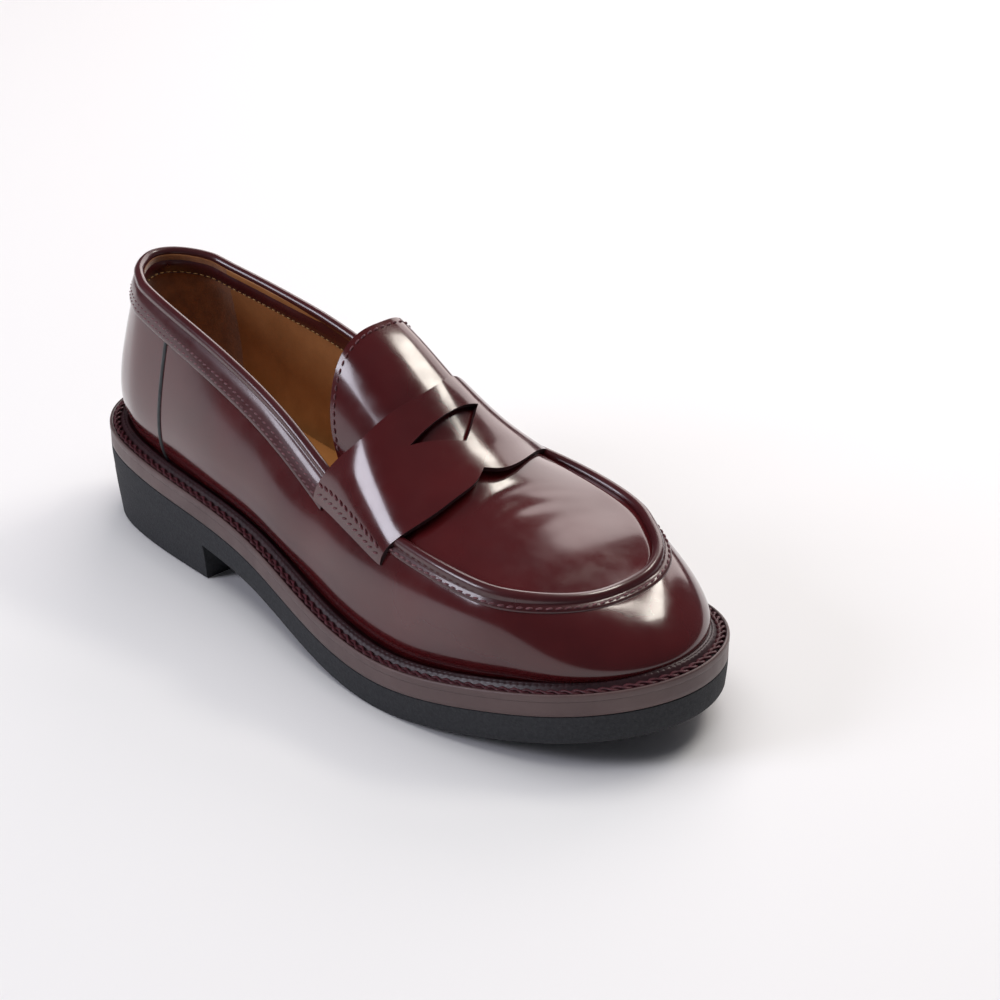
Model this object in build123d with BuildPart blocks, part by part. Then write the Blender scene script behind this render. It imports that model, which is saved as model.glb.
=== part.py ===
from build123d import *
import math
import os

os.makedirs("parts", exist_ok=True)

# A slip-on penny loafer for the right foot, millimetres.
# Row frame: +Z up, toe to -Y, heel to +Y, inner (medial) side to +X, outer (lateral) side to -X.
# The origin is on the floor, under the middle of the sole's outline.
# The last has its own coordinates, which every table below uses:
#   out = distance from the last's centre line towards the outer side
#   along = distance from the back of the heel towards the toe
#   up = height over the floor

# ---- driving dimensions -----------------------------------------------------------------
LENGTH = 289.0            # sole, heel to toe
AXIS_X = 3.3              # the last's centre line lies this far inward of the sole's middle
HEEL_LENGTH = 85.0        # heel block, back to breast
WELT = 2.5                # welt strip thickness
MIDSOLE = 5.5
OUTSOLE = 10.4            # front part of the outsole
WELT_REACH = 9.0          # from the sole's edge in to the foot of the upper
RAND_HEIGHT = 2.1         # raised lip of the storm welt
UPPER = 1.3               # upper leather
LINING = 0.9              # lining leather
STRAP = 1.8               # saddle strap leather, double
TONGUE = 1.4
INSOLE = 2.2              # insole board
FOAM = 2.0                # footbed foam
SOCK = 1.0                # sock liner
GAP = 0.1                 # air between layers that only touch
BINDING_DROP = 12.0       # outer flap of the collar binding, below the top line
FACING_DROP = 9.0         # inner flap of the collar binding
APRON_BAND = 5.5          # apron welt's width, bead and flange
BEAD_TUCK = 1.5           # the wall's leather stops this far below the apron seam's ridge
BEAD_WIDTH = 2.8          # apron bead, across
BEAD_RISE = 1.5           # apron bead, over the seam's ridge
FLANGE = 0.8              # apron welt's flange, thickness
RAND_OUTER = 5.2          # lip of the storm welt, its outer face from the sole's edge
RAND_INNER = 7.2
FILLER_INSET = WELT_REACH + 3.3     # welt's inner edge from the sole's edge
FOOTBED_INSET = FILLER_INSET + 0.8  # insole board, foam and sock from the sole's edge
WELT_THREAD_OUTER = 1.6   # row of welt stitches from the sole's edge
WELT_THREAD_INNER = 3.8
SHANK_FROM = 38.0         # shank's rear end
SHANK_TO = 146.0
SHANK_WIDTH = 15.0
SHANK_THICK = 1.2
SHANK_PLAY = 0.3          # room round the shank in the filler
THREAD = 0.6              # width of a row of stitches
PIPING_RADIUS = 0.9       # cord over the heel seams
PLUG_DROP = 0.3           # apron plug under the plug's nominal surface
PLUG_INSET = 0.3          # apron plug inside the seam's ridge
PLUG_LINING_DEPTH = 1.8
PLUG_LINING_INSET = 3.6
TONGUE_FRONT = 169.0      # tongue's front end, under the strap
TONGUE_STITCH = 2.6       # row of stitches inside the tongue's edge
TONGUE_BIND = 0.6         # tongue lining inside the tongue's edge
STRAP_STITCH_IN = 2.2     # row of stitches above the strap's sewn edge
STRAP_STITCH_WIDTH = 1.0
STRAP_STITCH_PROUD = 0.35
UP = (0, 0, 1)
SKY = 140.0               # taller than the shoe, for cutting prisms
WIDE = 70.0               # wider than half the shoe
# Arched sections are superellipses: power on the outer side, on the inner side, and of height
STRAP_POWERS = (1.9, 2.4, 1.8)
TONGUE_POWERS = (3.2, 3.2, 1.8)
PLUG_POWERS = (2.2, 2.2, 1.05)
PLUG_REACH = 1.04         # the plug's sections run on past the seam by this ratio

# outline of the sole, (out, along), from the back of the heel round the outer side
SOLE_EDGE = [
    (-1, 0), (22.5, 13.5), (31.6, 36), (37, 80), (41, 115), (50, 158), (53.8, 197), (48, 238),
    (33, 271), (3, 289), (-28, 279), (-44.5, 253), (-46.8, 211), (-42.5, 168), (-34.5, 127),
    (-33, 84), (-34.5, 38), (-25, 13.5),
]
# height of the welt's top face, (along, up): heel, waist, ball and toe spring
WELT_TOP = [(-6, 39.1), (0, 38.7), (60, 34.5), (105, 30.8), (145, 24.3), (195, 18.4),
            (240, 23.6), (289, 31.9), (295, 33.0)]

# The upper's wall is drawn at stations round the last. Each is an upright plane through a
# centre, facing a heading (0 = toe, 90 = outer side), and holds one Bezier from the foot of
# the upper to its top edge: the top line behind the strap, the apron seam before it.
# (centre out, centre along, heading, foot radius, top radius, top height,
#  belly outward, belly height ratio, shoulder outward, shoulder drop ratio, stiffener)
RING = [
    (-1.5, 36, 180.0, 27.0, 22.0, 100.0, 9, 0.20, 4.5, 0.40, 1.0),
    (-1.5, 36, 157.5, 26.0, 20.2, 99.4, 9, 0.20, 4.5, 0.40, 1.0),
    (-1.5, 36, 135.0, 24.0, 18.8, 98.8, 9, 0.20, 4.5, 0.40, 1.0),
    (-1.5, 36, 112.5, 23.1, 18.5, 98.0, 8, 0.20, 4.5, 0.40, 1.0),
    (0, 36, 90, 22.8, 18.0, 96.6, 8, 0.20, 4.5, 0.40, 1.0),
    (0, 53, 90, 25.3, 20.3, 93.4, 7, 0.20, 4.5, 0.38, 1.0),
    (0, 70, 90, 27.1, 22.0, 90.2, 7, 0.20, 4.5, 0.36, 0.8),
    (0, 88, 90, 28.8, 23.6, 86.2, 7, 0.20, 4.5, 0.35, 0.3),
    (0, 108, 90, 30.9, 25.4, 80.6, 7, 0.20, 4.0, 0.33, 0.0),
    (0, 128, 90, 34.4, 27.6, 73.4, 7, 0.22, 4.0, 0.30, 0.0),
    (0, 146, 90, 38.5, 29.9, 65.2, 6, 0.25, 5.0, 0.25, 0.0),
    (0, 164, 90, 42.0, 32.8, 59.4, 6, 0.25, 6.0, 0.18, 0.0),
    (0, 184, 90, 44.4, 36.1, 56.8, 6, 0.25, 6.5, 0.12, 0.0),
    (0, 206, 90, 44.7, 38.4, 55.4, 6, 0.25, 6.5, 0.12, 0.4),
    (2, 228, 90.0, 39.5, 36.2, 54.0, 7, 0.25, 7.0, 0.10, 1.0),
    (2, 228, 67.5, 38.4, 34.3, 53.0, 7, 0.22, 8.0, 0.06, 1.0),
    (2, 228, 45.0, 42.3, 31.5, 51.5, 8, 0.20, 9.5, 0.04, 1.0),
    (2, 228, 22.5, 48.1, 29.5, 50.0, 9, 0.18, 11.0, 0.03, 1.0),
    (2, 228, 0.0, 52.0, 29.0, 49.5, 9, 0.18, 11.5, 0.03, 1.0),
    (2, 228, -22.5, 51.2, 31.8, 50.7, 9, 0.18, 11.0, 0.03, 1.0),
    (2, 228, -45.0, 47.5, 33.5, 52.8, 9, 0.18, 9.5, 0.04, 1.0),
    (2, 228, -67.5, 42.7, 34.2, 55.0, 8, 0.22, 8.0, 0.06, 1.0),
    (2, 228, -90.0, 40.2, 37.0, 57.0, 7, 0.25, 6.5, 0.10, 1.0),
    (0, 206, -90, 37.3, 35.5, 60.4, 7, 0.25, 6.0, 0.12, 0.4),
    (0, 184, -90, 35.5, 32.6, 63.4, 7, 0.25, 5.5, 0.12, 0.0),
    (0, 164, -90, 32.8, 30.0, 65.8, 7, 0.25, 5.0, 0.18, 0.0),
    (0, 146, -90, 29.2, 27.9, 69.8, 7, 0.25, 4.0, 0.25, 0.0),
    (0, 128, -90, 25.9, 27.1, 77.2, 7, 0.22, 3.0, 0.30, 0.0),
    (0, 108, -90, 24.0, 26.5, 82.8, 7, 0.20, 3.0, 0.33, 0.0),
    (0, 88, -90, 23.7, 26.1, 87.4, 7, 0.20, 3.5, 0.35, 0.3),
    (0, 70, -90, 24.6, 25.4, 90.4, 7, 0.20, 4.0, 0.36, 0.8),
    (0, 53, -90, 25.6, 24.3, 93.0, 7, 0.20, 4.5, 0.38, 1.0),
    (0, 36, -90, 25.2, 22.8, 95.5, 8, 0.20, 4.5, 0.40, 1.0),
    (-1.5, 36, -112.5, 23.7, 21.4, 97.2, 8, 0.20, 4.5, 0.40, 1.0),
    (-1.5, 36, -135.0, 24.2, 21.5, 98.6, 9, 0.20, 4.5, 0.40, 1.0),
    (-1.5, 36, -157.5, 26.0, 22.0, 99.7, 9, 0.20, 4.5, 0.40, 1.0),
]
TURN = len(RING)          # ring positions past this one are on the next turn
OUTER_SEAM = 5            # ring position of the heel seam on the outer side
INNER_SEAM = 31
APRON_START = 12          # ring position where the apron seam comes out of the strap, outer side
APRON_END = 24
COLLAR_START = 26         # collar runs from here, round the heel, to COLLAR_END
COLLAR_END = 10
BETWEEN = 2               # stations interpolated between two rows of the ring

# Arched sheets over the instep, drawn at stations across the last:
# (along, crown out, crown up, outer edge out, outer edge up, inner edge out, inner edge up)
PLUG = [
    (174, -4, 84.5, 34.3, 57.3, -31.3, 64.7), (182, -3, 78.0, 35.8, 56.8, -32.3, 63.8),
    (191, -2, 71.5, 37.0, 56.1, -33.8, 62.6), (201, -1, 66.2, 38.2, 55.6, -35.2, 61.0),
    (214, 0, 61.8, 39.0, 55.0, -35.5, 59.2), (228, 0, 58.2, 38.2, 54.0, -35.0, 56.5),
    (242, 1, 55.0, 34.0, 52.8, -29.5, 54.9), (250, 2, 52.6, 30.0, 51.0, -26.0, 52.6),
    (262, 2, 47.6, 30.0, 46.8, -26.0, 48.2),
]
STRAP_ARCH = [
    (143, -5, 86.0, 35.6, 57.0, -34.0, 63.0), (156, -5, 96.5, 37.5, 55.2, -35.8, 61.0),
    (168, -4, 93.0, 39.8, 53.0, -37.6, 58.5), (178, -3, 85.4, 41.5, 50.6, -39.2, 56.0),
    (188, -2, 77.6, 43.2, 48.6, -40.8, 54.2), (198, -1, 71.2, 43.9, 48.2, -41.3, 53.6),
    (208, 0, 67.0, 44.5, 47.6, -41.8, 53.0),
]
TONGUE_ARCH = [
    (134, -4, 106.5, 23.2, 57.0, -21.6, 62.0), (146, -4, 101.4, 23.4, 54.0, -21.8, 60.0),
    (158, -4, 95.4, 23.6, 51.0, -22.0, 58.0), (170, -4, 89.0, 24.0, 48.0, -22.4, 55.0),
]
# strap's plan, (out, along): rear edge, then front edge with its notch
STRAP_REAR = [(50, 145), (38, 147), (30, 158), (21, 164.5), (10, 167.6), (-4, 168.6),
              (-20, 166), (-29, 158), (-37, 148), (-50, 146)]
STRAP_FRONT_OUTER = [(50, 187), (43, 188), (37, 192.5), (27, 198.5), (16, 199.5), (7, 196.5)]
STRAP_FRONT_INNER = [(-9, 196.5), (-18, 198.5), (-28, 197), (-36, 191), (-41, 187.5), (-50, 187)]
NOTCH = [(4.5, 196), (2, 191.8), (-2, 191.8), (-6.5, 196)]
SLOT = [(14, 173.5), (-14, 176.5), (0, 185.5)]


# ---- geometry helpers -------------------------------------------------------------------
def spot(out, along, up=0.0):
    """A point of the last's coordinates in the row frame."""
    return Vector(AXIS_X - out, LENGTH / 2 - along, up)


def ring_row(position):
    """Row of the ring at a whole position, its heading carried on past half a turn."""
    turns, place = divmod(position, TURN)
    row = RING[place]
    return (*row[:2], row[2] - 360 * turns, *row[3:], position)


def stations(first, last):
    """Ring stations between two positions, with cubic interpolation between the rows."""
    rows = [ring_row(position) for position in range(first - 1, last + 2)]
    found = []
    for before, here, after, beyond in zip(rows, rows[1:], rows[2:], rows[3:]):
        for i in range(BETWEEN + 1):
            t = i / (BETWEEN + 1)
            found.append(tuple(
                b + t / 2 * (c - a + t * (2 * a - 5 * b + 4 * c - d + t * (3 * b - a - 3 * c + d)))
                for a, b, c, d in zip(before, here, after, beyond)))
    return found + [rows[-2]]


WELT_TOP_LINE = Spline(*[(along, up) for along, up in WELT_TOP])


def welt_top(along):
    """Height of the welt's top face at a distance from the heel, by bisection."""
    low, high = 0.0, 1.0
    for _ in range(24):
        middle = (low + high) / 2
        if (WELT_TOP_LINE @ middle).X < along:
            low = middle
        else:
            high = middle
    return (WELT_TOP_LINE @ low).Y


SOLE_EDGE_LINE = Spline(*[spot(out, along) for out, along in SOLE_EDGE], periodic=True)


def sole_outline(inset=0.0):
    """Plan of a sole layer, its edge moved in by an inset."""
    count = 30
    edge = []
    for i in range(count):
        tangent = SOLE_EDGE_LINE % (i / count)
        inward = Vector(-tangent.Y, tangent.X, 0)
        edge.append((SOLE_EDGE_LINE @ (i / count)) + inward * inset)
    with BuildSketch() as plan:
        with BuildLine():
            Spline(*edge, periodic=True)
        make_face()
    return plan.sketch


def side_band(low, high):
    """Side view of a layer that follows the welt's top face between two rises over it."""
    lower = [(LENGTH / 2 - along, up + low) for along, up in WELT_TOP]
    upper = [(LENGTH / 2 - along, up + high) for along, up in WELT_TOP]
    with BuildSketch(Plane.YZ) as side:
        with BuildLine():
            Spline(*lower)
            Line(lower[-1], upper[-1])
            Spline(*upper)
            Line(upper[0], lower[0])
        make_face()
    return side.sketch


def outsole_side():
    """Side view of the outsole: heel block, breast, waist, tread and toe spring."""
    top = [(along, up - WELT - MIDSOLE) for along, up in WELT_TOP]
    tread = [(along, max(up - WELT - MIDSOLE - OUTSOLE, 0)) for along, up in WELT_TOP if along > 90]
    tread.insert(0, (HEEL_LENGTH, welt_top(HEEL_LENGTH) - WELT - MIDSOLE - OUTSOLE))
    row = lambda points: [(LENGTH / 2 - along, up) for along, up in points]
    with BuildSketch(Plane.YZ) as side:
        with BuildLine():
            Spline(*row(top))
            Line(*row([top[-1], tread[-1]]))
            Spline(*row(tread))
            Polyline(*row([tread[0], (HEEL_LENGTH, 0), (top[0][0], 0), top[0]]))
        make_face()
    return side.sketch


def station_plane(station):
    out, along, heading = station[:3]
    x_dir = (-math.sin(math.radians(heading)), -math.cos(math.radians(heading)), 0)
    return Plane(origin=spot(out, along), x_dir=x_dir, z_dir=(x_dir[1], -x_dir[0], 0))


def wall_point(station, ratio, depth):
    """Point of the wall's curve at a Bezier ratio, moved inward by depth."""
    out, along, heading, foot, top, top_up, belly, belly_up, shoulder, shoulder_drop = station[:10]
    foot_up = welt_top(along + foot * math.cos(math.radians(heading))) + GAP
    rise = top_up - foot_up
    poles = [
        (foot, foot_up),
        (foot + belly, foot_up + belly_up * rise),
        (top + shoulder, top_up - shoulder_drop * rise),
        (top, top_up),
    ]
    weights = [(1 - ratio) ** 3, 3 * ratio * (1 - ratio) ** 2, 3 * ratio ** 2 * (1 - ratio), ratio ** 3]
    slopes = [(1 - ratio) ** 2, 2 * ratio * (1 - ratio), ratio ** 2]
    r = sum(w * p[0] for w, p in zip(weights, poles))
    z = sum(w * p[1] for w, p in zip(weights, poles))
    dr = sum(w * (poles[i + 1][0] - poles[i][0]) for i, w in enumerate(slopes))
    dz = sum(w * (poles[i + 1][1] - poles[i][1]) for i, w in enumerate(slopes))
    size = math.hypot(dr, dz)
    return (r - depth * dz / size, max(z + depth * dr / size, foot_up))


def ratio_below_top(station, distance):
    """Bezier ratio of the point that lies a distance down the wall from its top edge."""
    ratio, walked, last = 1.0, 0.0, wall_point(station, 1.0, 0)
    while walked < distance:
        ratio -= 0.002
        here = wall_point(station, ratio, 0)
        walked += math.dist(here, last)
        last = here
    return ratio


def wall_curve(station, low, high, depth, count=6):
    return [wall_point(station, low + (high - low) * i / (count - 1), depth) for i in range(count)]


def wall_strip(station, low, high, outer, inner):
    """Section of a layer of the wall, between two ratios and two depths."""
    outside = wall_curve(station, low, high, outer)
    inside = wall_curve(station, low, high, inner)
    with BuildSketch(station_plane(station)) as section:
        with BuildLine():
            Spline(*outside)
            Line(outside[-1], inside[-1])
            Spline(*inside)
            Line(inside[0], outside[0])
        make_face()
    return section.sketch


def lining_depth(station):
    return UPPER + GAP + station[10] + GAP


def lifted(station, depth, lift):
    """Top end of the wall at a depth, carried on along the wall by a small lift."""
    end, before = wall_point(station, 1.0, depth), wall_point(station, 0.98, depth)
    size = math.dist(end, before)
    return (end[0] + (end[0] - before[0]) * lift / size, end[1] + (end[1] - before[1]) * lift / size)


def binding_section(station):
    """Folded collar binding: outer flap, rolled top and inner facing."""
    flap = ratio_below_top(station, BINDING_DROP)
    facing = ratio_below_top(station, FACING_DROP)
    inner = lining_depth(station) + LINING
    skin = 1.0
    outside = wall_curve(station, flap, 1.0, -skin - GAP)[:-1] + [lifted(station, -skin, skin)]
    outside_under = wall_curve(station, flap, 1.0, -GAP)[:-1] + [lifted(station, -GAP, GAP)]
    inside = wall_curve(station, facing, 1.0, inner + GAP + skin)[:-1] + [lifted(station, inner + skin, skin)]
    inside_under = wall_curve(station, facing, 1.0, inner + GAP)[:-1] + [lifted(station, inner, GAP)]
    with BuildSketch(station_plane(station)) as section:
        with BuildLine():
            Spline(*outside)
            Line(outside[-1], inside[-1])
            Spline(*inside)
            Line(inside[0], inside_under[0])
            Spline(*inside_under)
            Line(inside_under[-1], outside_under[-1])
            Spline(*outside_under)
            Line(outside_under[0], outside[0])
        make_face()
    return section.sketch


def apron_welt_section(station):
    """Bead that stands along the apron seam, with its stitched flange on the wall."""
    top, top_up = station[4], station[5]
    edge = ratio_below_top(station, APRON_BAND)
    root = ratio_below_top(station, BEAD_WIDTH)
    flange_top = wall_curve(station, edge, root, -FLANGE)
    flange_under = wall_curve(station, edge, root, -GAP / 2)
    foot = flange_top[-1]
    dome = [foot, (foot[0] - 0.6, foot[1] + 0.75), (top + 1.3, top_up + BEAD_RISE),
            (top + 0.3, top_up + 0.6), (top + 0.2, top_up - 1.0)]
    with BuildSketch(station_plane(station)) as section:
        with BuildLine():
            Spline(*flange_top)
            Spline(*dome)
            Line(dome[-1], flange_under[-1])
            Spline(*flange_under)
            Line(flange_under[0], flange_top[0])
        make_face()
    return section.sketch


def arch_curve(row, depth, outer_power, inner_power, height_power, reach=1.0):
    """Points of an arched sheet's section at one station, outer side to inner side."""
    along, crown_out, crown_up, outer_out, outer_up, inner_out, inner_up = row
    points = []
    for edge_out, edge_up, power in ((outer_out, outer_up, outer_power),
                                     (inner_out, inner_up, inner_power)):
        side = []
        for angle in (90, 72, 55, 38, 20):
            share = math.sin(math.radians(angle)) ** (2 / power) * reach
            height = (1 - min(share, 1) ** power) ** (1 / height_power)
            side.append((crown_out + (edge_out - crown_out) * share,
                         edge_up + (crown_up - edge_up) * height))
        points.append(side)
    curve = points[0] + [(crown_out, crown_up)] + points[1][::-1]
    moved = []
    for i, (out, up) in enumerate(curve):
        before, after = curve[max(i - 1, 0)], curve[min(i + 1, len(curve) - 1)]
        d_out, d_up = after[0] - before[0], after[1] - before[1]
        size = math.hypot(d_out, d_up)
        moved.append((out - depth * d_up / size, up + depth * d_out / size))
    return moved


def arch_strip(row, outer, inner, powers, reach=1.0):
    """Section of a layer of an arched sheet, between two depths under its outer face."""
    plane = Plane(origin=spot(0, row[0]), x_dir=(-1, 0, 0), z_dir=(0, 1, 0))
    outside = arch_curve(row, outer, *powers, reach)
    inside = arch_curve(row, inner, *powers, reach)
    with BuildSketch(plane) as section:
        with BuildLine():
            Spline(*outside)
            Line(outside[-1], inside[-1])
            Spline(*inside)
            Line(inside[0], outside[0])
        make_face()
    return section.sketch


def apron_plan(inset):
    """Plan of the apron inside its seam, with a straight rear edge under the strap."""
    seam = []
    for out, along, heading, _, top in [st[:5] for st in stations(APRON_START, APRON_END)]:
        turn = math.radians(heading)
        seam.append(spot(out + (top - inset) * math.sin(turn), along + (top - inset) * math.cos(turn)))
    with BuildSketch() as plan:
        with BuildLine():
            Spline(*seam)
            Polyline(seam[-1], (seam[-1].X, seam[-1].Y + 6), (seam[0].X, seam[0].Y + 6), seam[0])
        make_face()
    return plan.sketch


def strap_plan(inset=0.0):
    """Plan of the saddle strap: sewn ends at the sides, a notch in the front edge."""
    rear = [spot(*p) for p in STRAP_REAR]
    outer_lobe = [spot(*p) for p in STRAP_FRONT_OUTER]
    inner_lobe = [spot(*p) for p in STRAP_FRONT_INNER]
    notch = [spot(*p) for p in NOTCH]
    with BuildSketch() as plan:
        with BuildLine():
            Polyline(rear[0], rear[1])
            Spline(*rear[1:-1])
            Polyline(rear[-2], rear[-1], inner_lobe[-1], inner_lobe[-2])
            Spline(*inner_lobe[:-1])
            Polyline(inner_lobe[0], notch[3], notch[2], notch[1], notch[0], outer_lobe[-1])
            Spline(*outer_lobe[1:])
            Polyline(outer_lobe[1], outer_lobe[0], rear[0])
        make_face()
    return plan.sketch


def tongue_side(inset):
    """Side view of the tongue: rounded free end, straight end under the strap."""
    corner = [(139.5 + inset, 108), (138.2 + inset, 98), (138.5 + inset, 86), (142 + inset, 74),
              (149 + inset, 64 + inset), (158, 60 + inset)]
    free_end = [(LENGTH / 2 - along, up) for along, up in corner]
    front = LENGTH / 2 - TONGUE_FRONT
    with BuildSketch(Plane.YZ) as side:
        with BuildLine():
            Spline(*free_end)
            Polyline(free_end[-1], (front, 58 + inset), (front, 118), (free_end[0][0], 118), free_end[0])
        make_face()
    return side.sketch


def save(builder, name):
    builder.part.label = name
    export_step(builder.part, f"parts/{name}.step")


# ---- sole -------------------------------------------------------------------------------
with BuildPart() as outsole:
    extrude(sole_outline(), amount=SKY, dir=UP)
    extrude(outsole_side(), amount=WIDE, both=True, mode=Mode.INTERSECT)
save(outsole, "outsole")

with BuildPart() as midsole:
    extrude(sole_outline(), amount=SKY, dir=UP)
    extrude(side_band(-WELT - MIDSOLE, -WELT), amount=WIDE, both=True, mode=Mode.INTERSECT)
save(midsole, "midsole")

with BuildPart() as storm_welt:
    extrude(sole_outline(), amount=SKY, dir=UP)
    extrude(sole_outline(FILLER_INSET), amount=SKY, dir=UP, mode=Mode.SUBTRACT)
    extrude(side_band(-WELT, 0), amount=WIDE, both=True, mode=Mode.INTERSECT)
with BuildPart() as rand:
    extrude(sole_outline(RAND_OUTER), amount=SKY, dir=UP)
    extrude(sole_outline(RAND_INNER), amount=SKY, dir=UP, mode=Mode.SUBTRACT)
    extrude(side_band(-0.5, RAND_HEIGHT), amount=WIDE, both=True, mode=Mode.INTERSECT)
with BuildPart() as storm_welt_with_rand:
    add(storm_welt.part)
    add(rand.part)
save(storm_welt_with_rand, "storm_welt")

with BuildPart() as welt_stitching:
    extrude(sole_outline(WELT_THREAD_OUTER), amount=SKY, dir=UP)
    extrude(sole_outline(WELT_THREAD_INNER), amount=SKY, dir=UP, mode=Mode.SUBTRACT)
    extrude(side_band(GAP / 2, 0.9), amount=WIDE, both=True, mode=Mode.INTERSECT)
save(welt_stitching, "welt_stitching")

with BuildPart() as shank:
    with BuildSketch() as shank_plan:
        with Locations(spot(1, (SHANK_FROM + SHANK_TO) / 2)):
            SlotOverall(SHANK_TO - SHANK_FROM, SHANK_WIDTH, rotation=90)
    extrude(amount=SKY)
    extrude(side_band(-1.5, -1.5 + SHANK_THICK), amount=WIDE, both=True, mode=Mode.INTERSECT)
save(shank, "shank")

with BuildPart() as shank_pocket:
    with BuildSketch():
        with Locations(spot(1, (SHANK_FROM + SHANK_TO) / 2)):
            SlotOverall(SHANK_TO - SHANK_FROM + 2 * SHANK_PLAY, SHANK_WIDTH + 2 * SHANK_PLAY, rotation=90)
    extrude(amount=SKY)
    extrude(side_band(-1.6, 1), amount=WIDE, both=True, mode=Mode.INTERSECT)
with BuildPart() as cork_filler:
    extrude(sole_outline(FILLER_INSET + GAP), amount=SKY, dir=UP)
    extrude(side_band(-WELT, 0), amount=WIDE, both=True, mode=Mode.INTERSECT)
    add(shank_pocket.part, mode=Mode.SUBTRACT)
save(cork_filler, "cork_filler")

with BuildPart() as insole_board:
    extrude(sole_outline(FOOTBED_INSET), amount=SKY, dir=UP)
    extrude(side_band(GAP, INSOLE), amount=WIDE, both=True, mode=Mode.INTERSECT)
save(insole_board, "insole_board")

with BuildPart() as footbed_foam:
    extrude(sole_outline(FOOTBED_INSET), amount=SKY, dir=UP)
    extrude(side_band(INSOLE + GAP, INSOLE + FOAM), amount=WIDE, both=True, mode=Mode.INTERSECT)
save(footbed_foam, "footbed_foam")

with BuildPart() as sock_liner:
    extrude(sole_outline(FOOTBED_INSET), amount=SKY, dir=UP)
    extrude(side_band(INSOLE + FOAM + GAP, INSOLE + FOAM + SOCK), amount=WIDE, both=True,
            mode=Mode.INTERSECT)
save(sock_liner, "sock_liner")

# ---- upper: wall, back, linings and stiffeners ------------------------------------------
HEEL_RING = stations(INNER_SEAM, TURN + OUTER_SEAM)
FRONT_RING = stations(OUTER_SEAM, INNER_SEAM)
COLLAR_RING = stations(COLLAR_START, TURN + COLLAR_END)
APRON_RING = stations(APRON_START, APRON_END)


def wall_end(station):
    """Upper end of the wall's leather: at the top line, or just short of the apron bead."""
    position = station[-1]
    past_collar = min(position - COLLAR_END, COLLAR_START - position, 1)
    return ratio_below_top(station, BEAD_TUCK * max(past_collar, 0))


with BuildPart() as vamp_wall:
    loft([wall_strip(st, 0, wall_end(st), 0, UPPER) for st in FRONT_RING])
save(vamp_wall, "vamp_wall")

with BuildPart() as back_quarter:
    loft([wall_strip(st, 0, 1, 0, UPPER) for st in HEEL_RING])
save(back_quarter, "back_quarter")

with BuildPart() as heel_counter:
    loft([wall_strip(st, 0.03, 0.72, UPPER + GAP, UPPER + GAP + st[10])
          for st in stations(INNER_SEAM - 1, TURN + OUTER_SEAM + 1)])
save(heel_counter, "heel_counter")

with BuildPart() as toe_puff:
    loft([wall_strip(st, 0.03, 0.85, UPPER + GAP, UPPER + GAP + st[10]) for st in stations(13, 23)])
save(toe_puff, "toe_puff")


def lining_strip(station, top):
    depth = lining_depth(station)
    return wall_strip(station, 0.02, top, depth, depth + LINING)


with BuildPart() as vamp_lining:
    loft([lining_strip(st, wall_end(st) - 0.02) for st in stations(9, 27)])
save(vamp_lining, "vamp_lining")

with BuildPart() as quarter_lining_outer:
    loft([lining_strip(st, 1) for st in stations(4, 9)])
save(quarter_lining_outer, "quarter_lining_outer")

with BuildPart() as quarter_lining_inner:
    loft([lining_strip(st, 1) for st in stations(27, 32)])
save(quarter_lining_inner, "quarter_lining_inner")

with BuildPart() as heel_lining:
    loft([lining_strip(st, 1) for st in stations(32, TURN + 4)])
save(heel_lining, "heel_lining")

# ---- upper: binding, seams and stitching ------------------------------------------------
with BuildPart() as collar_binding:
    loft([binding_section(st) for st in COLLAR_RING])
save(collar_binding, "collar_binding")


def thread_section(station, distance, width, outer, inner):
    """Section of a row of stitches that runs a distance down the wall."""
    low = ratio_below_top(station, distance + width)
    high = ratio_below_top(station, distance)
    corners = [wall_point(station, low, outer), wall_point(station, high, outer),
               wall_point(station, high, inner), wall_point(station, low, inner)]
    with BuildSketch(station_plane(station)) as section:
        with BuildLine():
            Polyline(*corners, close=True)
        make_face()
    return section.sketch


with BuildPart() as collar_stitching:
    for distance in (BINDING_DROP - 4.6, BINDING_DROP - 2.2):
        loft([thread_section(st, distance, THREAD, -1.5, -1.1 - GAP / 2) for st in COLLAR_RING])
save(collar_stitching, "collar_stitching")

with BuildPart() as apron_welt:
    loft([apron_welt_section(st) for st in APRON_RING])
save(apron_welt, "apron_welt")

with BuildPart() as apron_stitching:
    loft([thread_section(st, 3.9, THREAD, -1.2, -0.8 - GAP / 2)
          for st in APRON_RING])
save(apron_stitching, "apron_stitching")


def piping(station):
    """Upright cord over a heel seam, from the welt to the collar binding."""
    top = ratio_below_top(station, BINDING_DROP + 0.4)
    with BuildPart() as cord:
        centres = [wall_point(station, top * i / 7 + 0.004, -PIPING_RADIUS - GAP / 2)
                   for i in range(8)]
        plane = station_plane(station)
        path = Spline(*[plane.from_local_coords((r, z, 0)) for r, z in centres])
        with BuildSketch(Plane(origin=path @ 0, z_dir=path % 0)):
            Circle(PIPING_RADIUS)
        sweep(path=path)
    return cord


seam_piping_outer = piping(ring_row(OUTER_SEAM))
save(seam_piping_outer, "seam_piping_outer")
seam_piping_inner = piping(ring_row(INNER_SEAM))
save(seam_piping_inner, "seam_piping_inner")

# ---- apron, strap and tongue ------------------------------------------------------------
with BuildPart() as apron_plug:
    loft([arch_strip(row, PLUG_DROP, PLUG_DROP + UPPER, PLUG_POWERS, PLUG_REACH) for row in PLUG])
    extrude(apron_plan(PLUG_INSET), amount=SKY, dir=UP, mode=Mode.INTERSECT)
save(apron_plug, "apron_plug")

with BuildPart() as apron_lining:
    loft([arch_strip(row, PLUG_LINING_DEPTH, PLUG_LINING_DEPTH + LINING, PLUG_POWERS, PLUG_REACH)
          for row in PLUG])
    extrude(apron_plan(PLUG_LINING_INSET), amount=SKY, dir=UP, mode=Mode.INTERSECT)
save(apron_lining, "apron_lining")

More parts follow.
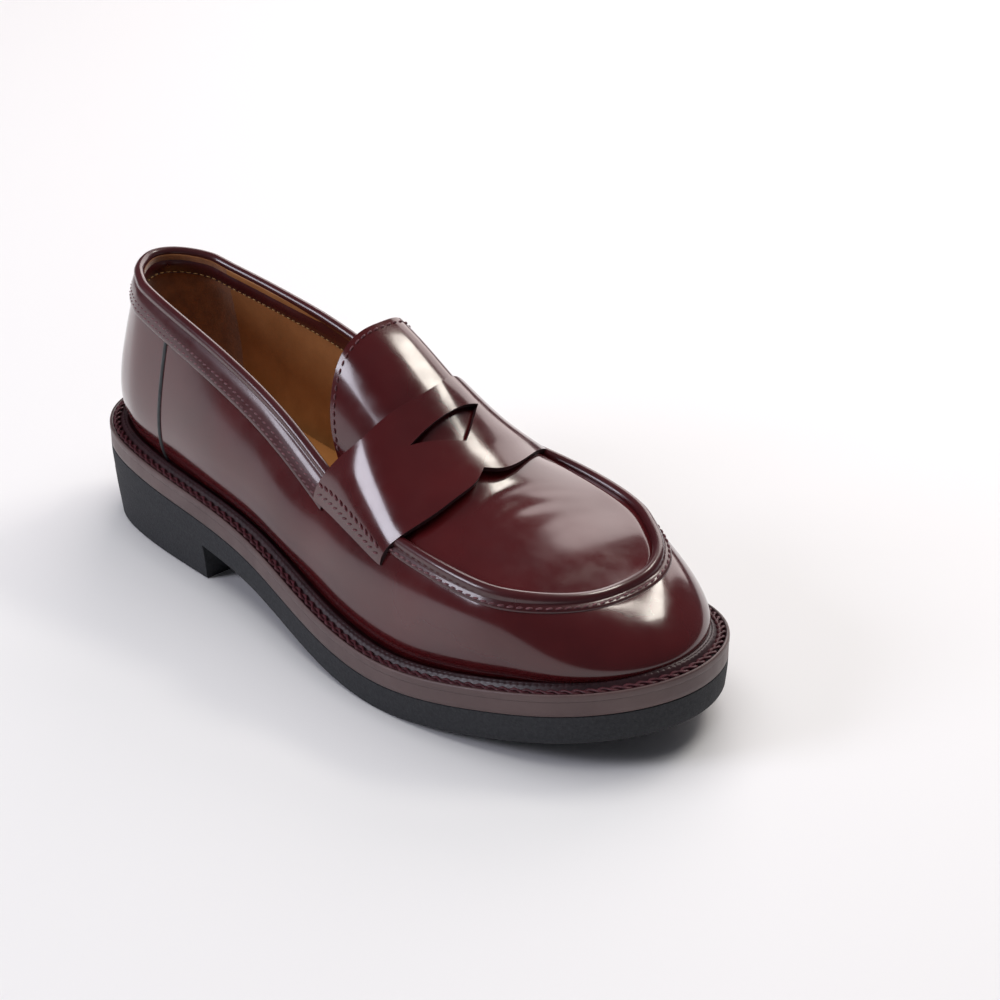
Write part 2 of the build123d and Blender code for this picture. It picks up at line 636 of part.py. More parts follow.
with BuildPart() as saddle_strap:
    loft([arch_strip(row, 0, STRAP, STRAP_POWERS) for row in STRAP_ARCH])
    extrude(strap_plan(), amount=SKY, dir=UP, mode=Mode.INTERSECT)
    with BuildSketch():
        with BuildLine():
            Polyline(*[spot(*p) for p in SLOT], close=True)
        make_face()
    extrude(amount=SKY, mode=Mode.SUBTRACT)
save(saddle_strap, "saddle_strap")


def strap_stitching(inner_side):
    """Row of stitches along one sewn end of the strap."""
    sections = []
    for row in STRAP_ARCH[1:6]:
        curve = arch_curve(row, -GAP / 2, *STRAP_POWERS)
        end, before = (curve[-1], curve[-2]) if inner_side else (curve[0], curve[1])
        size = math.dist(end, before)
        step = ((before[0] - end[0]) / size, (before[1] - end[1]) / size)
        side = -1 if inner_side else 1
        face_out = (side * step[1], -side * step[0])
        low = (end[0] + STRAP_STITCH_IN * step[0], end[1] + STRAP_STITCH_IN * step[1])
        high = (low[0] + STRAP_STITCH_WIDTH * step[0], low[1] + STRAP_STITCH_WIDTH * step[1])
        lift = (STRAP_STITCH_PROUD * face_out[0], STRAP_STITCH_PROUD * face_out[1])
        corners = [low, high, (high[0] + lift[0], high[1] + lift[1]), (low[0] + lift[0], low[1] + lift[1])]
        plane = Plane(origin=spot(0, row[0]), x_dir=(-1, 0, 0), z_dir=(0, 1, 0))
        with BuildSketch(plane) as section:
            with BuildLine():
                Polyline(*corners, close=True)
            make_face()
        sections.append(section.sketch)
    with BuildPart() as row_of_stitches:
        loft(sections)
    return row_of_stitches


strap_stitching_outer = strap_stitching(False)
save(strap_stitching_outer, "strap_stitching_outer")
strap_stitching_inner = strap_stitching(True)
save(strap_stitching_inner, "strap_stitching_inner")

with BuildPart() as tongue:
    loft([arch_strip(row, 0, TONGUE, TONGUE_POWERS) for row in TONGUE_ARCH])
    extrude(tongue_side(0), amount=WIDE, both=True, mode=Mode.INTERSECT)
save(tongue, "tongue")

with BuildPart() as tongue_lining:
    loft([arch_strip(row, TONGUE + GAP, TONGUE + GAP + LINING, TONGUE_POWERS) for row in TONGUE_ARCH])
    extrude(tongue_side(TONGUE_BIND), amount=WIDE, both=True, mode=Mode.INTERSECT)
save(tongue_lining, "tongue_lining")

with BuildPart() as tongue_stitching:
    loft([arch_strip(row, -0.4, -GAP / 2, TONGUE_POWERS) for row in TONGUE_ARCH])
    extrude(tongue_side(TONGUE_STITCH), amount=WIDE, both=True, mode=Mode.INTERSECT)
    extrude(tongue_side(TONGUE_STITCH + THREAD), amount=WIDE, both=True, mode=Mode.SUBTRACT)
save(tongue_stitching, "tongue_stitching")
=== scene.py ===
import math
import random

import bmesh
import bpy
import numpy as np
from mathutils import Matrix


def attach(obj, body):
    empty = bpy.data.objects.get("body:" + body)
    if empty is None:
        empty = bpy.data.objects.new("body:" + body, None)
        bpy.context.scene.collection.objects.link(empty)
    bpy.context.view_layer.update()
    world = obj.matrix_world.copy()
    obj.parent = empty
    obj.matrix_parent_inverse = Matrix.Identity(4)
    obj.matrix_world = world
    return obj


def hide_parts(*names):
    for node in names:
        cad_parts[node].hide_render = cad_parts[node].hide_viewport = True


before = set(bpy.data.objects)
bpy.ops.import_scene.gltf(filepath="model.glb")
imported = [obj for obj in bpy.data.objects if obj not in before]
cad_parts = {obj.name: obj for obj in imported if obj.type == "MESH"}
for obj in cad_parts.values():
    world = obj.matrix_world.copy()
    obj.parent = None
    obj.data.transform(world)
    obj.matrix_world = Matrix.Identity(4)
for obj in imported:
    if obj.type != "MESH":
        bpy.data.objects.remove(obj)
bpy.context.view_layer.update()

# Lengths in the tables and shape functions are millimetres of the last:
# (out, along, up) = towards the outer side, from the heel towards the toe, over the floor.
MM = 0.001
LENGTH = 289.0
AXIS_X = 3.3
HEEL_LENGTH = 85.0
WELT = 2.5
MIDSOLE = 5.5
OUTSOLE = 10.4
UPPER = 1.3
LINING = 0.9
STRAP = 1.8
SKIVE = 0.45              # leather taken off the strap's rear edge
TONGUE = 1.4
INSOLE_STACK = 5.2
random.seed(7)

SOLE_EDGE = [
    (-1, 0), (22.5, 13.5), (31.6, 36), (37, 80), (41, 115), (50, 158), (53.8, 197), (48, 238),
    (33, 271), (3, 289), (-28, 279), (-44.5, 253), (-46.8, 211), (-42.5, 168), (-34.5, 127),
    (-33, 84), (-34.5, 38), (-25, 13.5),
]
WELT_TOP = [(-6, 39.1), (0, 38.7), (60, 34.5), (105, 30.8), (145, 24.3), (195, 18.4),
            (240, 23.6), (289, 31.9), (295, 33.0)]
# centre out, centre along, heading, foot radius, top radius, top height,
# belly outward, belly height ratio, shoulder outward, shoulder drop ratio, stiffener
RING = [
    (-1.5, 36, 180.0, 27.0, 22.0, 100.0, 9, 0.20, 4.5, 0.40, 1.0),
    (-1.5, 36, 157.5, 26.0, 20.2, 99.4, 9, 0.20, 4.5, 0.40, 1.0),
    (-1.5, 36, 135.0, 24.0, 18.8, 98.8, 9, 0.20, 4.5, 0.40, 1.0),
    (-1.5, 36, 112.5, 23.1, 18.5, 98.0, 8, 0.20, 4.5, 0.40, 1.0),
    (0, 36, 90, 22.8, 18.0, 96.6, 8, 0.20, 4.5, 0.40, 1.0),
    (0, 53, 90, 25.3, 20.3, 93.4, 8, 0.20, 5.0, 0.38, 1.0),
    (0, 70, 90, 27.1, 22.0, 90.2, 9.5, 0.22, 5.5, 0.36, 0.8),
    (0, 88, 90, 28.8, 23.6, 86.2, 10.5, 0.23, 6.0, 0.36, 0.3),
    (0, 108, 90, 30.9, 25.4, 80.6, 10.5, 0.23, 6.0, 0.36, 0.0),
    (0, 128, 90, 34.4, 27.6, 73.4, 9.5, 0.24, 6.0, 0.33, 0.0),
    (0, 146, 90, 38.5, 29.9, 65.2, 6, 0.25, 5.0, 0.25, 0.0),
    (0, 164, 90, 42.0, 32.8, 59.4, 6, 0.25, 6.0, 0.18, 0.0),
    (0, 184, 90, 44.4, 36.1, 56.8, 6, 0.25, 6.5, 0.12, 0.0),
    (0, 206, 90, 44.7, 38.4, 55.4, 6, 0.25, 6.5, 0.12, 0.4),
    (2, 228, 90.0, 39.5, 36.2, 54.0, 7, 0.25, 7.0, 0.10, 1.0),
    (2, 228, 67.5, 38.4, 34.3, 53.0, 7, 0.22, 8.0, 0.06, 1.0),
    (2, 228, 45.0, 42.3, 31.5, 51.5, 8, 0.20, 9.5, 0.04, 1.0),
    (2, 228, 22.5, 48.1, 29.5, 50.0, 9, 0.18, 11.0, 0.03, 1.0),
    (2, 228, 0.0, 52.0, 29.0, 49.5, 9, 0.18, 11.5, 0.03, 1.0),
    (2, 228, -22.5, 51.2, 31.8, 50.7, 9, 0.18, 11.0, 0.03, 1.0),
    (2, 228, -45.0, 47.5, 33.5, 52.8, 9, 0.18, 9.5, 0.04, 1.0),
    (2, 228, -67.5, 42.7, 34.2, 55.0, 8, 0.22, 8.0, 0.06, 1.0),
    (2, 228, -90.0, 40.2, 37.0, 57.0, 7, 0.25, 6.5, 0.10, 1.0),
    (0, 206, -90, 37.3, 35.5, 60.4, 7, 0.25, 6.0, 0.12, 0.4),
    (0, 184, -90, 35.5, 32.6, 63.4, 7, 0.25, 5.5, 0.12, 0.0),
    (0, 164, -90, 32.8, 30.0, 65.8, 7, 0.25, 5.0, 0.18, 0.0),
    (0, 146, -90, 29.2, 27.9, 69.8, 7, 0.25, 4.0, 0.25, 0.0),
    (0, 128, -90, 25.9, 27.1, 77.2, 7, 0.22, 3.0, 0.30, 0.0),
    (0, 108, -90, 24.0, 26.5, 82.8, 7, 0.20, 3.0, 0.33, 0.0),
    (0, 88, -90, 23.7, 26.1, 87.4, 7, 0.20, 3.5, 0.35, 0.3),
    (0, 70, -90, 24.6, 25.4, 90.4, 7, 0.20, 4.0, 0.36, 0.8),
    (0, 53, -90, 25.6, 24.3, 93.0, 7, 0.20, 4.5, 0.38, 1.0),
    (0, 36, -90, 25.2, 22.8, 95.5, 8, 0.20, 4.5, 0.40, 1.0),
    (-1.5, 36, -112.5, 23.7, 21.4, 97.2, 8, 0.20, 4.5, 0.40, 1.0),
    (-1.5, 36, -135.0, 24.2, 21.5, 98.6, 9, 0.20, 4.5, 0.40, 1.0),
    (-1.5, 36, -157.5, 26.0, 22.0, 99.7, 9, 0.20, 4.5, 0.40, 1.0),
]
TURN = len(RING)
OUTER_SEAM, INNER_SEAM = 5, 31          # heel seams
APRON_START, APRON_END = 11.2, 24.8     # apron seam, its ends under the strap
COLLAR_START, COLLAR_END = 25.7, 10.3   # collar, its ends under the strap
# (along, crown out, crown up, outer edge out, outer edge up, inner edge out, inner edge up)
PLUG = [
    (174, -4, 84.5, 34.3, 57.3, -31.3, 64.7), (182, -3, 78.0, 35.8, 56.8, -32.3, 63.8),
    (191, -2, 71.5, 37.0, 56.1, -33.8, 62.6), (201, -1, 66.2, 38.2, 55.6, -35.2, 61.0),
    (214, 0, 61.8, 39.0, 55.0, -35.5, 59.2), (228, 0, 58.2, 38.2, 54.0, -35.0, 56.5),
    (242, 1, 55.0, 34.0, 52.8, -29.5, 54.9), (250, 2, 52.3, 30.0, 50.8, -26.0, 52.4),
    (262, 2, 49.2, 30.0, 48.2, -26.0, 49.8),
]
STRAP_ARCH = [
    (143, -5, 86.0, 35.6, 56.0, -33.0, 62.6), (156, -5, 96.5, 37.5, 54.0, -34.5, 60.0),
    (168, -4, 93.0, 39.8, 51.8, -36.2, 57.4), (178, -3, 85.4, 41.5, 49.6, -38.9, 57.2),
    (188, -2, 77.6, 43.2, 47.8, -41.6, 57.6), (198, -1, 71.2, 43.9, 47.4, -42.0, 55.6),
    (208, 0, 67.0, 44.5, 46.8, -42.2, 52.8),
]
TONGUE_ARCH = [
    (134, -5, 109.0, 23.2, 57.0, -22.4, 62.0), (146, -5, 103.0, 23.4, 54.0, -22.6, 60.0),
    (158, -5, 95.6, 23.6, 51.0, -22.8, 58.0), (170, -5, 87.8, 24.0, 48.0, -23.0, 55.0),
]
STRAP_POWERS = (2.0, 2.0, 1.8, 1.1)
TONGUE_POWERS = (3.2, 3.6, 1.8, 2.2)
PLUG_POWERS = (2.2, 2.2, 1.05, 1.05)


# ---- curves -----------------------------------------------------------------------------
def cubic(knots, values, periodic=False):
    """Twice-smooth cubic spline through values at knots, as a function."""
    k, v = np.asarray(knots, float), np.asarray(values, float)
    n, h = len(k), np.diff(k)
    matrix, right = np.zeros((n, n)), np.zeros_like(v)
    slope = np.diff(v, axis=0) / (h if v.ndim == 1 else h[:, None])
    for i in range(1, n - 1):
        matrix[i, i - 1:i + 2] = h[i - 1], 2 * (h[i - 1] + h[i]), h[i]
        right[i] = 6 * (slope[i] - slope[i - 1])
    if periodic:
        matrix[0, 0], matrix[0, 1], matrix[0, n - 2] = 2 * (h[-1] + h[0]), h[0], h[-1]
        right[0] = 6 * (slope[0] - slope[-1])
        matrix[-1, 0], matrix[-1, -1] = 1, -1
    else:
        matrix[0, 0] = matrix[-1, -1] = 1
    bend = np.linalg.solve(matrix, right)

    def at(x):
        x = np.asarray(x, float)
        if periodic:
            x = k[0] + np.mod(x - k[0], k[-1] - k[0])
        i = np.clip(np.searchsorted(k, x, side="right") - 1, 0, n - 2)
        a, d, w = k[i + 1] - x, x - k[i], h[i]
        if v.ndim > 1:
            a, d, w = a[..., None], d[..., None], w[..., None]
        return ((bend[i] * a ** 3 + bend[i + 1] * d ** 3) / (6 * w)
                + (v[i] / w - bend[i] * w / 6) * a + (v[i + 1] / w - bend[i + 1] * w / 6) * d)

    return at


def unit(vectors):
    return vectors / np.maximum(np.linalg.norm(vectors, axis=-1, keepdims=True), 1e-12)


def walk(points):
    """Distance walked along a line of points."""
    steps = np.linalg.norm(np.diff(points, axis=0), axis=-1)
    return np.concatenate([[0], np.cumsum(steps)])


def place(points):
    """Points of the last, in millimetres, to the row frame in metres."""
    p = np.asarray(points, float)
    return np.stack([AXIS_X - p[..., 0], LENGTH / 2 - p[..., 1], p[..., 2]], -1) * MM


def ease(x):
    x = np.clip(x, 0, 1)
    return x * x * (3 - 2 * x)


welt_top = cubic(*zip(*WELT_TOP))
_edge = np.array(SOLE_EDGE + SOLE_EDGE[:1], float)
_edge_raw = cubic(walk(_edge), _edge, periodic=True)
_fine = _edge_raw(np.linspace(0, walk(_edge)[-1], 2001))
OUTLINE_LENGTH = walk(_fine)[-1]
_even = np.linspace(0, OUTLINE_LENGTH, 721)
_fine_even = np.stack([np.interp(_even, walk(_fine), _fine[:, c]) for c in range(2)], -1)
_fine_even[-1] = _fine_even[0]
edge_at = cubic(_even, _fine_even, periodic=True)


def outline(s, inset=0.0, rise=0.0):
    """Points on the sole's edge at distances s round it, moved in and over the welt's top."""
    s = np.asarray(s, float)
    here, turn = edge_at(s), edge_at(s + 0.5) - edge_at(s - 0.5)
    turn = unit(turn)
    inward = np.stack([-turn[..., 1], turn[..., 0]], -1)
    plan = here + inward * np.asarray(inset)[..., None]
    up = welt_top(here[..., 1]) + rise
    return np.concatenate([plan, up[..., None]], -1)


# ---- the upper's wall -------------------------------------------------------------------
def _ring_poles():
    poles = []
    for out, along, heading, foot, top, top_up, belly, belly_up, shoulder, drop, stiff in RING:
        side, front = math.sin(math.radians(heading)), math.cos(math.radians(heading))
        foot_up = float(welt_top(along + foot * front))
        rise = top_up - foot_up
        rows = [(foot, foot_up), (foot + belly, foot_up + belly_up * rise),
                (top + shoulder, top_up - drop * rise), (top, top_up)]
        poles.append([v for r, z in rows for v in (out + r * side, along + r * front, z)] + [stiff])
    return np.array(poles + poles[:1])


poles_at = cubic(range(TURN + 1), _ring_poles(), periodic=True)


def _bezier(p, ratio):
    flat = poles_at(p)
    b = flat[..., :12].reshape(flat.shape[:-1] + (4, 3))
    t = np.asarray(ratio)[..., None]
    return ((1 - t) ** 3 * b[..., 0, :] + 3 * t * (1 - t) ** 2 * b[..., 1, :]
            + 3 * t ** 2 * (1 - t) * b[..., 2, :] + t ** 3 * b[..., 3, :])


def wall_normal(p, ratio):
    step = 0.01
    around = _bezier(p + step, ratio) - _bezier(p - step, ratio)
    upward = _bezier(p, ratio + step) - _bezier(p, ratio - step)
    return unit(np.cross(around, upward))


def wall(p, ratio, depth=0.0):
    """Points of the wall at ring positions and Bezier ratios, moved inward by depth."""
    p, ratio, depth = np.broadcast_arrays(*(np.asarray(a, float) for a in (p, ratio, depth)))
    return _bezier(p, ratio) - wall_normal(p, ratio) * depth[..., None]


def wall_ratio(p, distance):
    """Bezier ratio of the points that lie distances down the wall from its top edge."""
    p, distance = np.broadcast_arrays(np.asarray(p, float), np.asarray(distance, float))
    ratios = np.linspace(1, 0, 121)
    lines = _bezier(p[..., None] + 0 * ratios, ratios + 0 * p[..., None])
    steps = np.linalg.norm(np.diff(lines, axis=-2), axis=-1)
    walked = np.concatenate([np.zeros(p.shape + (1,)), np.cumsum(steps, -1)], -1)
    found = [np.interp(d, w, ratios) for d, w in zip(distance.ravel(), walked.reshape(-1, 121))]
    return np.array(found).reshape(p.shape)


def down(p, distance, depth=0.0):
    """Points at distances down the wall's outside; a negative distance goes on above it."""
    p, distance, depth = np.broadcast_arrays(*(np.asarray(a, float) for a in (p, distance, depth)))
    points = wall(p, wall_ratio(p, np.maximum(distance, 0)), depth)
    upward = unit(_bezier(p, np.ones_like(p)) - _bezier(p, np.full_like(p, 0.97)))
    return points + upward * np.maximum(-distance, 0)[..., None]


def stiffener(p):
    return np.clip(poles_at(p)[..., 12], 0, 1)


# ---- arched sheets ----------------------------------------------------------------------
def arch_at(rows, powers):
    columns = cubic([row[0] for row in rows], [row[1:] for row in rows])

    def point(along, share, depth=0.0):
        """Point at a signed share of the half width, plus towards the outer side."""
        along, share, depth = np.broadcast_arrays(*(np.asarray(a, float)
                                                    for a in (along, share, depth)))

        def surface(along, share):
            crown_out, crown_up, o_out, o_up, i_out, i_up = np.moveaxis(columns(along), -1, 0)
            outer = share >= 0
            size = np.clip(np.abs(share), 0, 1.2)
            power = np.where(outer, powers[0], powers[1])
            edge_out, edge_up = np.where(outer, o_out, i_out), np.where(outer, o_up, i_up)
            fall = np.where(outer, powers[2], powers[3])
            height = np.clip(1 - size ** power, 0, 1) ** (1 / fall)
            return np.stack([crown_out + (edge_out - crown_out) * size, along,
                             edge_up + (crown_up - edge_up) * height], -1)

        step = 0.004
        low, high = np.clip(share - step, -0.999, 0.999), np.clip(share + step, -0.999, 0.999)
        across = surface(along, high) - surface(along, low)
        forward = surface(along + 0.5, share) - surface(along - 0.5, share)
        return surface(along, share) - unit(np.cross(across, forward)) * depth[..., None]

    return point


plug_at = arch_at(PLUG, PLUG_POWERS)
strap_at = arch_at(STRAP_ARCH, STRAP_POWERS)
tongue_at = arch_at(TONGUE_ARCH, TONGUE_POWERS)


# ---- meshes -----------------------------------------------------------------------------
class Piece:
    """Points of the last and faces, gathered into one closed mesh."""

    def __init__(self):
        self.points, self.faces, self.count = [], [], 0
        self.rims = []

    def add(self, points, faces):
        points = np.asarray(points, float).reshape(-1, 3)
        self.faces.extend(tuple(self.count + i for i in face) for face in faces)
        self.points.append(points)
        self.count += len(points)

    def tube(self, sections, closed=False, caps=True):
        """Loops of points, (n, m, 3), joined in a row; closed joins the last to the first."""
        n, m = sections.shape[:2]
        faces = []
        for i in range(n if closed else n - 1):
            a, b = i * m, (i + 1) % n * m
            faces += [(a + j, a + (j + 1) % m, b + (j + 1) % m, b + j) for j in range(m)]
        if caps and not closed:
            faces += [tuple(range(m))[::-1], tuple((n - 1) * m + j for j in range(m))]
        self.add(sections, faces)

    def sheet(self, top, bottom, open_row=None, welded=None):
        """Two grids (n, m, 3) of the same points, one over the other, joined round the rim.

        Row open_row has no cells; its points in the welded columns are those of the next."""
        n, m = top.shape[:2]
        index = np.arange(n * m).reshape(n, m)
        if open_row is not None:
            index[open_row + 1, welded] = index[open_row, welded]
        index = index.tolist()
        quads = [(index[i][j], index[i][j + 1], index[i + 1][j + 1], index[i + 1][j])
                 for i in range(n - 1) for j in range(m - 1) if i != open_row]
        used = {}
        for quad in quads:
            for k in range(4):
                a, b = quad[k], quad[(k + 1) % 4]
                if (b, a) in used:
                    del used[(b, a)]
                else:
                    used[(a, b)] = True
        size = n * m
        faces = quads + [tuple(size + i for i in quad[::-1]) for quad in quads]
        first_rim = len(self.faces) + len(faces)
        faces += [(b, a, size + a, size + b) for a, b in used]
        self.rims.extend(range(first_rim, first_rim + len(used)))
        self.add(np.concatenate([top.reshape(-1, 3), bottom.reshape(-1, 3)]), faces)

    def build(self, name, material, replaced=(), body="shoe", sharp=45, bevel=0.0,
              rim_material=None):
        mesh = bpy.data.meshes.new(name)
        mesh.from_pydata(place(np.concatenate(self.points)).tolist(), [], self.faces)
        mesh.materials.append(material)
        if rim_material is not None:
            mesh.materials.append(rim_material)
            for i in self.rims:
                mesh.polygons[i].material_index = 1
        work = bmesh.new()
        work.from_mesh(mesh)
        bmesh.ops.remove_doubles(work, verts=work.verts, dist=2e-6)
        loose = [v for v in work.verts if not v.link_faces]
        bmesh.ops.delete(work, geom=loose, context="VERTS")
        bmesh.ops.recalc_face_normals(work, faces=work.faces)
        work.to_mesh(mesh)
        work.free()
        mesh.shade_smooth()
        mesh.set_sharp_from_angle(angle=math.radians(sharp))
        piece = bpy.data.objects.new(name, mesh)
        bpy.context.scene.collection.objects.link(piece)
        if bevel:
            soften = piece.modifiers.new("rounded edges", "BEVEL")
            soften.width = bevel * MM
            soften.segments = 3
            soften.limit_method = "ANGLE"
            soften.angle_limit = math.radians(50)
            soften.harden_normals = False
        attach(piece, body)
        if replaced:
            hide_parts(*replaced)
        return piece


def strip_loops(outer, inner, bulge=1.0, steps=4):
    """Section loops of a layer between two grids (n, m, 3), with round edges."""
    def rim(a, b, before):
        middle, half = (a + b) / 2, (a - b) / 2
        reach = unit(a - before) * np.linalg.norm(half, axis=-1, keepdims=True) * bulge
        turns = [math.pi * k / (steps + 1) for k in range(1, steps + 1)]
        return np.stack([middle + half * math.cos(t) + reach * math.sin(t) for t in turns], 1)

    top = rim(outer[:, -1], inner[:, -1], outer[:, -2])
    foot = rim(inner[:, 0], outer[:, 0], inner[:, 1])
    return np.concatenate([outer, top, inner[:, ::-1], foot], 1)


def wall_layer(p, low, high, outer, inner, rows=40, bulge=1.0):
    """Section loops of a layer of the wall between ratios and depths, one for each p."""
    share = np.linspace(0, 1, rows)[None, :]
    low, high = (np.broadcast_to(np.asarray(v, float), p.shape)[:, None] for v in (low, high))
    outer, inner = (np.broadcast_to(np.asarray(v, float), p.shape)[:, None]
                    for v in (outer, inner))
    ratio = low + (high - low) * share
    around = p[:, None] + 0 * share
    return strip_loops(wall(around, ratio, outer), wall(around, ratio, inner), bulge)


def stitches(piece, path, normals, pitch, length, width, height, slant=0.0, sink=0.35):
    """Single stitches along a path on a surface, each a rounded thread that dips at its ends."""
    path, normals = np.asarray(path), unit(np.asarray(normals))
    walked = walk(path)
    count = max(int(walked[-1] / pitch), 1)
    middles = (np.arange(count) + 0.5) * walked[-1] / count
    rings, sides = 7, 8
    x = np.linspace(-1, 1, rings)
    thick = np.maximum(1 - x ** 2, 0.0) ** 0.45 + 0.12
    angles = np.linspace(0, 2 * math.pi, sides, endpoint=False)
    for middle in middles:
        middle += random.uniform(-0.04, 0.04) * pitch
        tilt = slant + random.uniform(-0.05, 0.05)
        spots = middle + x * length / 2
        line = np.stack([np.interp(spots, walked, path[:, c]) for c in range(3)], -1)
        up = unit(np.stack([np.interp(spots, walked, normals[:, c]) for c in range(3)], -1))
        ahead = unit(np.gradient(line, axis=0))
        side = unit(np.cross(up, ahead))
        arch = height * (1 - x ** 2) - sink * height
        centre = line + side * (tilt * x * length / 2)[:, None] + up * arch[:, None]
        loops = (centre[:, None, :]
                 + side[:, None, :] * (np.cos(angles) * width / 2)[None, :, None]
                 * thick[:, None, None]
                 + up[:, None, :] * (np.sin(angles) * width / 2 * 0.8)[None, :, None]
                 * thick[:, None, None])
        piece.tube(loops)


# ---- materials --------------------------------------------------------------------------
def linear(r, g, b):
    """Linear colour of an sRGB one, 0 to 255."""
    return tuple(((c / 255 + 0.055) / 1.055) ** 2.4 if c > 10 else c / 255 / 12.92
                 for c in (r, g, b)) + (1.0,)


class Shader:
    """Node material whose noise and bump are built up step by step."""

    def __init__(self, name):
        self.material = bpy.data.materials.new(name)
        self.material.use_nodes = True
        self.nodes = self.material.node_tree.nodes
        self.links = self.material.node_tree.links
        self.shader = self.nodes["Principled BSDF"]
        self.place = self.nodes.new("ShaderNodeTexCoord").outputs["Object"]

    def set(self, **values):
        for key, value in values.items():
            self.shader.inputs[key.replace("_", " ")].default_value = value
        return self

    def noise(self, scale, detail=4.0, rough=0.55, stretch=None):
        node = self.nodes.new("ShaderNodeTexNoise")
        node.inputs["Scale"].default_value = scale
        node.inputs["Detail"].default_value = detail
        node.inputs["Roughness"].default_value = rough
        self.links.new(self.mapped(stretch), node.inputs["Vector"])
        return node.outputs["Fac"]

    def mapped(self, stretch):
        if stretch is None:
            return self.place
        node = self.nodes.new("ShaderNodeMapping")
        node.inputs["Scale"].default_value = stretch
        self.links.new(self.place, node.inputs["Vector"])
        return node.outputs["Vector"]

    def cells(self, scale):
        node = self.nodes.new("ShaderNodeTexVoronoi")
        node.inputs["Scale"].default_value = scale
        self.links.new(self.place, node.inputs["Vector"])
        return node.outputs["Distance"]

    def ramp(self, fac, *stops):
        node = self.nodes.new("ShaderNodeValToRGB")
        elements = node.color_ramp.elements
        while len(elements) < len(stops):
            elements.new(0.5)
        for element, (at, colour) in zip(elements, stops):
            element.position = at
            element.color = colour if isinstance(colour, tuple) else (colour,) * 3 + (1,)
        self.links.new(fac, node.inputs["Fac"])
        return node.outputs["Color"]

    def span(self, fac, low, high, start=0.3, end=0.7):
        node = self.nodes.new("ShaderNodeMapRange")
        for key, value in (("From Min", start), ("From Max", end), ("To Min", low), ("To Max", high)):
            node.inputs[key].default_value = value
        self.links.new(fac, node.inputs["Value"])
        return node.outputs["Result"]

    def join(self, output, socket):
        self.links.new(output, self.shader.inputs[socket])
        return self

    def bump(self, height, strength, distance):
        """Adds a bump over the ones before it; distance is in millimetres."""
        node = self.nodes.new("ShaderNodeBump")
        node.inputs["Strength"].default_value = strength
        node.inputs["Distance"].default_value = distance * MM
        self.links.new(height, node.inputs["Height"])
        socket = self.shader.inputs["Normal"]
        if socket.is_linked:
            self.links.new(socket.links[0].from_socket, node.inputs["Normal"])
        self.links.new(node.outputs["Normal"], socket)
        return self


def polished_leather(name, dark, light, roughness=(0.13, 0.22), creases=0.0):
    """Glazed upper leather: even colour, faint pores and a slightly wavy lacquer."""
    m = Shader(name)
    m.set(Specular_IOR_Level=0.5, Coat_Weight=0.55, Coat_Roughness=0.10, Coat_IOR=1.5)
    m.join(m.ramp(m.noise(28, 3), (0.3, dark), (0.75, light)), "Base Color")
    m.join(m.span(m.noise(160, 4), *roughness), "Roughness")
    m.bump(m.noise(70, 2, 0.4), 0.22, 0.35)
    m.bump(m.cells(2600), 0.06, 0.05)
    if creases:
        m.bump(m.noise(240, 5, 0.65, (1.0, 3.0, 1.0)), creases, 0.2)
    return m.material


leather = polished_leather("burgundy_leather", linear(66, 15, 18), linear(82, 21, 23))
leather_flex = polished_leather("burgundy_leather_flexed", linear(66, 15, 18), linear(82, 21, 23),
                                creases=0.06)
leather_edge = polished_leather("burgundy_leather_trim", linear(58, 16, 20), linear(72, 21, 25),
                                roughness=(0.26, 0.38))


def plain_material(name, dark, light, scale, roughness, bumps=(), **settings):
    m = Shader(name)
    m.set(**settings)
    m.join(m.ramp(m.noise(scale, 4), (0.3, dark), (0.72, light)), "Base Color")
    m.join(m.span(m.noise(scale * 3, 3), *roughness), "Roughness")
    for kind, bump_scale, strength, distance in bumps:
        height = m.cells(bump_scale) if kind == "cells" else m.noise(bump_scale, 5, 0.6)
        m.bump(height, strength, distance)
    return m.material


rubber = plain_material(
    "micro_cellular_rubber", linear(42, 43, 46), linear(56, 57, 60), 900, (0.72, 0.9),
    (("cells", 1500, 0.5, 0.22), ("noise", 350, 0.2, 0.3)), Specular_IOR_Level=0.35)
midsole_paint = plain_material(
    "midsole_edge", linear(88, 69, 68), linear(101, 81, 79), 60, (0.38, 0.5),
    (("noise", 420, 0.16, 0.15), ("cells", 1800, 0.08, 0.05)), Specular_IOR_Level=0.45)
welt_leather = plain_material(
    "welt_leather", linear(38, 19, 23), linear(56, 29, 33), 220, (0.3, 0.42),
    (("noise", 900, 0.25, 0.15),), Specular_IOR_Level=0.5)
welt_thread = plain_material(
    "welt_thread", linear(56, 22, 28), linear(88, 42, 49), 900, (0.42, 0.6),
    (("noise", 2600, 0.5, 0.2),))
upper_thread = plain_material(
    "upper_thread", linear(70, 28, 36), linear(122, 72, 78), 900, (0.35, 0.55),
    (("noise", 3200, 0.4, 0.12),), Sheen_Weight=0.2)
tan_leather = plain_material(
    "lining_leather", linear(158, 104, 54), linear(178, 122, 70), 90, (0.48, 0.62),
    (("cells", 1700, 0.16, 0.1), ("noise", 260, 0.12, 0.3)), Sheen_Weight=0.1)
sock_leather = plain_material(
    "sock_leather", linear(170, 112, 58), linear(190, 130, 74), 60, (0.4, 0.55),
    (("cells", 1500, 0.12, 0.08),))
suede = plain_material(
    "heel_grip_suede", linear(128, 78, 38), linear(160, 102, 54), 220, (0.85, 0.97),
    (("noise", 1500, 0.6, 0.25),), Sheen_Weight=0.6, Sheen_Roughness=0.5)
tan_thread = plain_material(
    "lining_thread", linear(150, 112, 66), linear(184, 146, 96), 900, (0.5, 0.7),
    (("noise", 3200, 0.4, 0.12),))
raw_edge = plain_material(
    "inked_edge", linear(36, 24, 26), linear(56, 34, 36), 500, (0.4, 0.55),
    (("noise", 1400, 0.4, 0.12),))
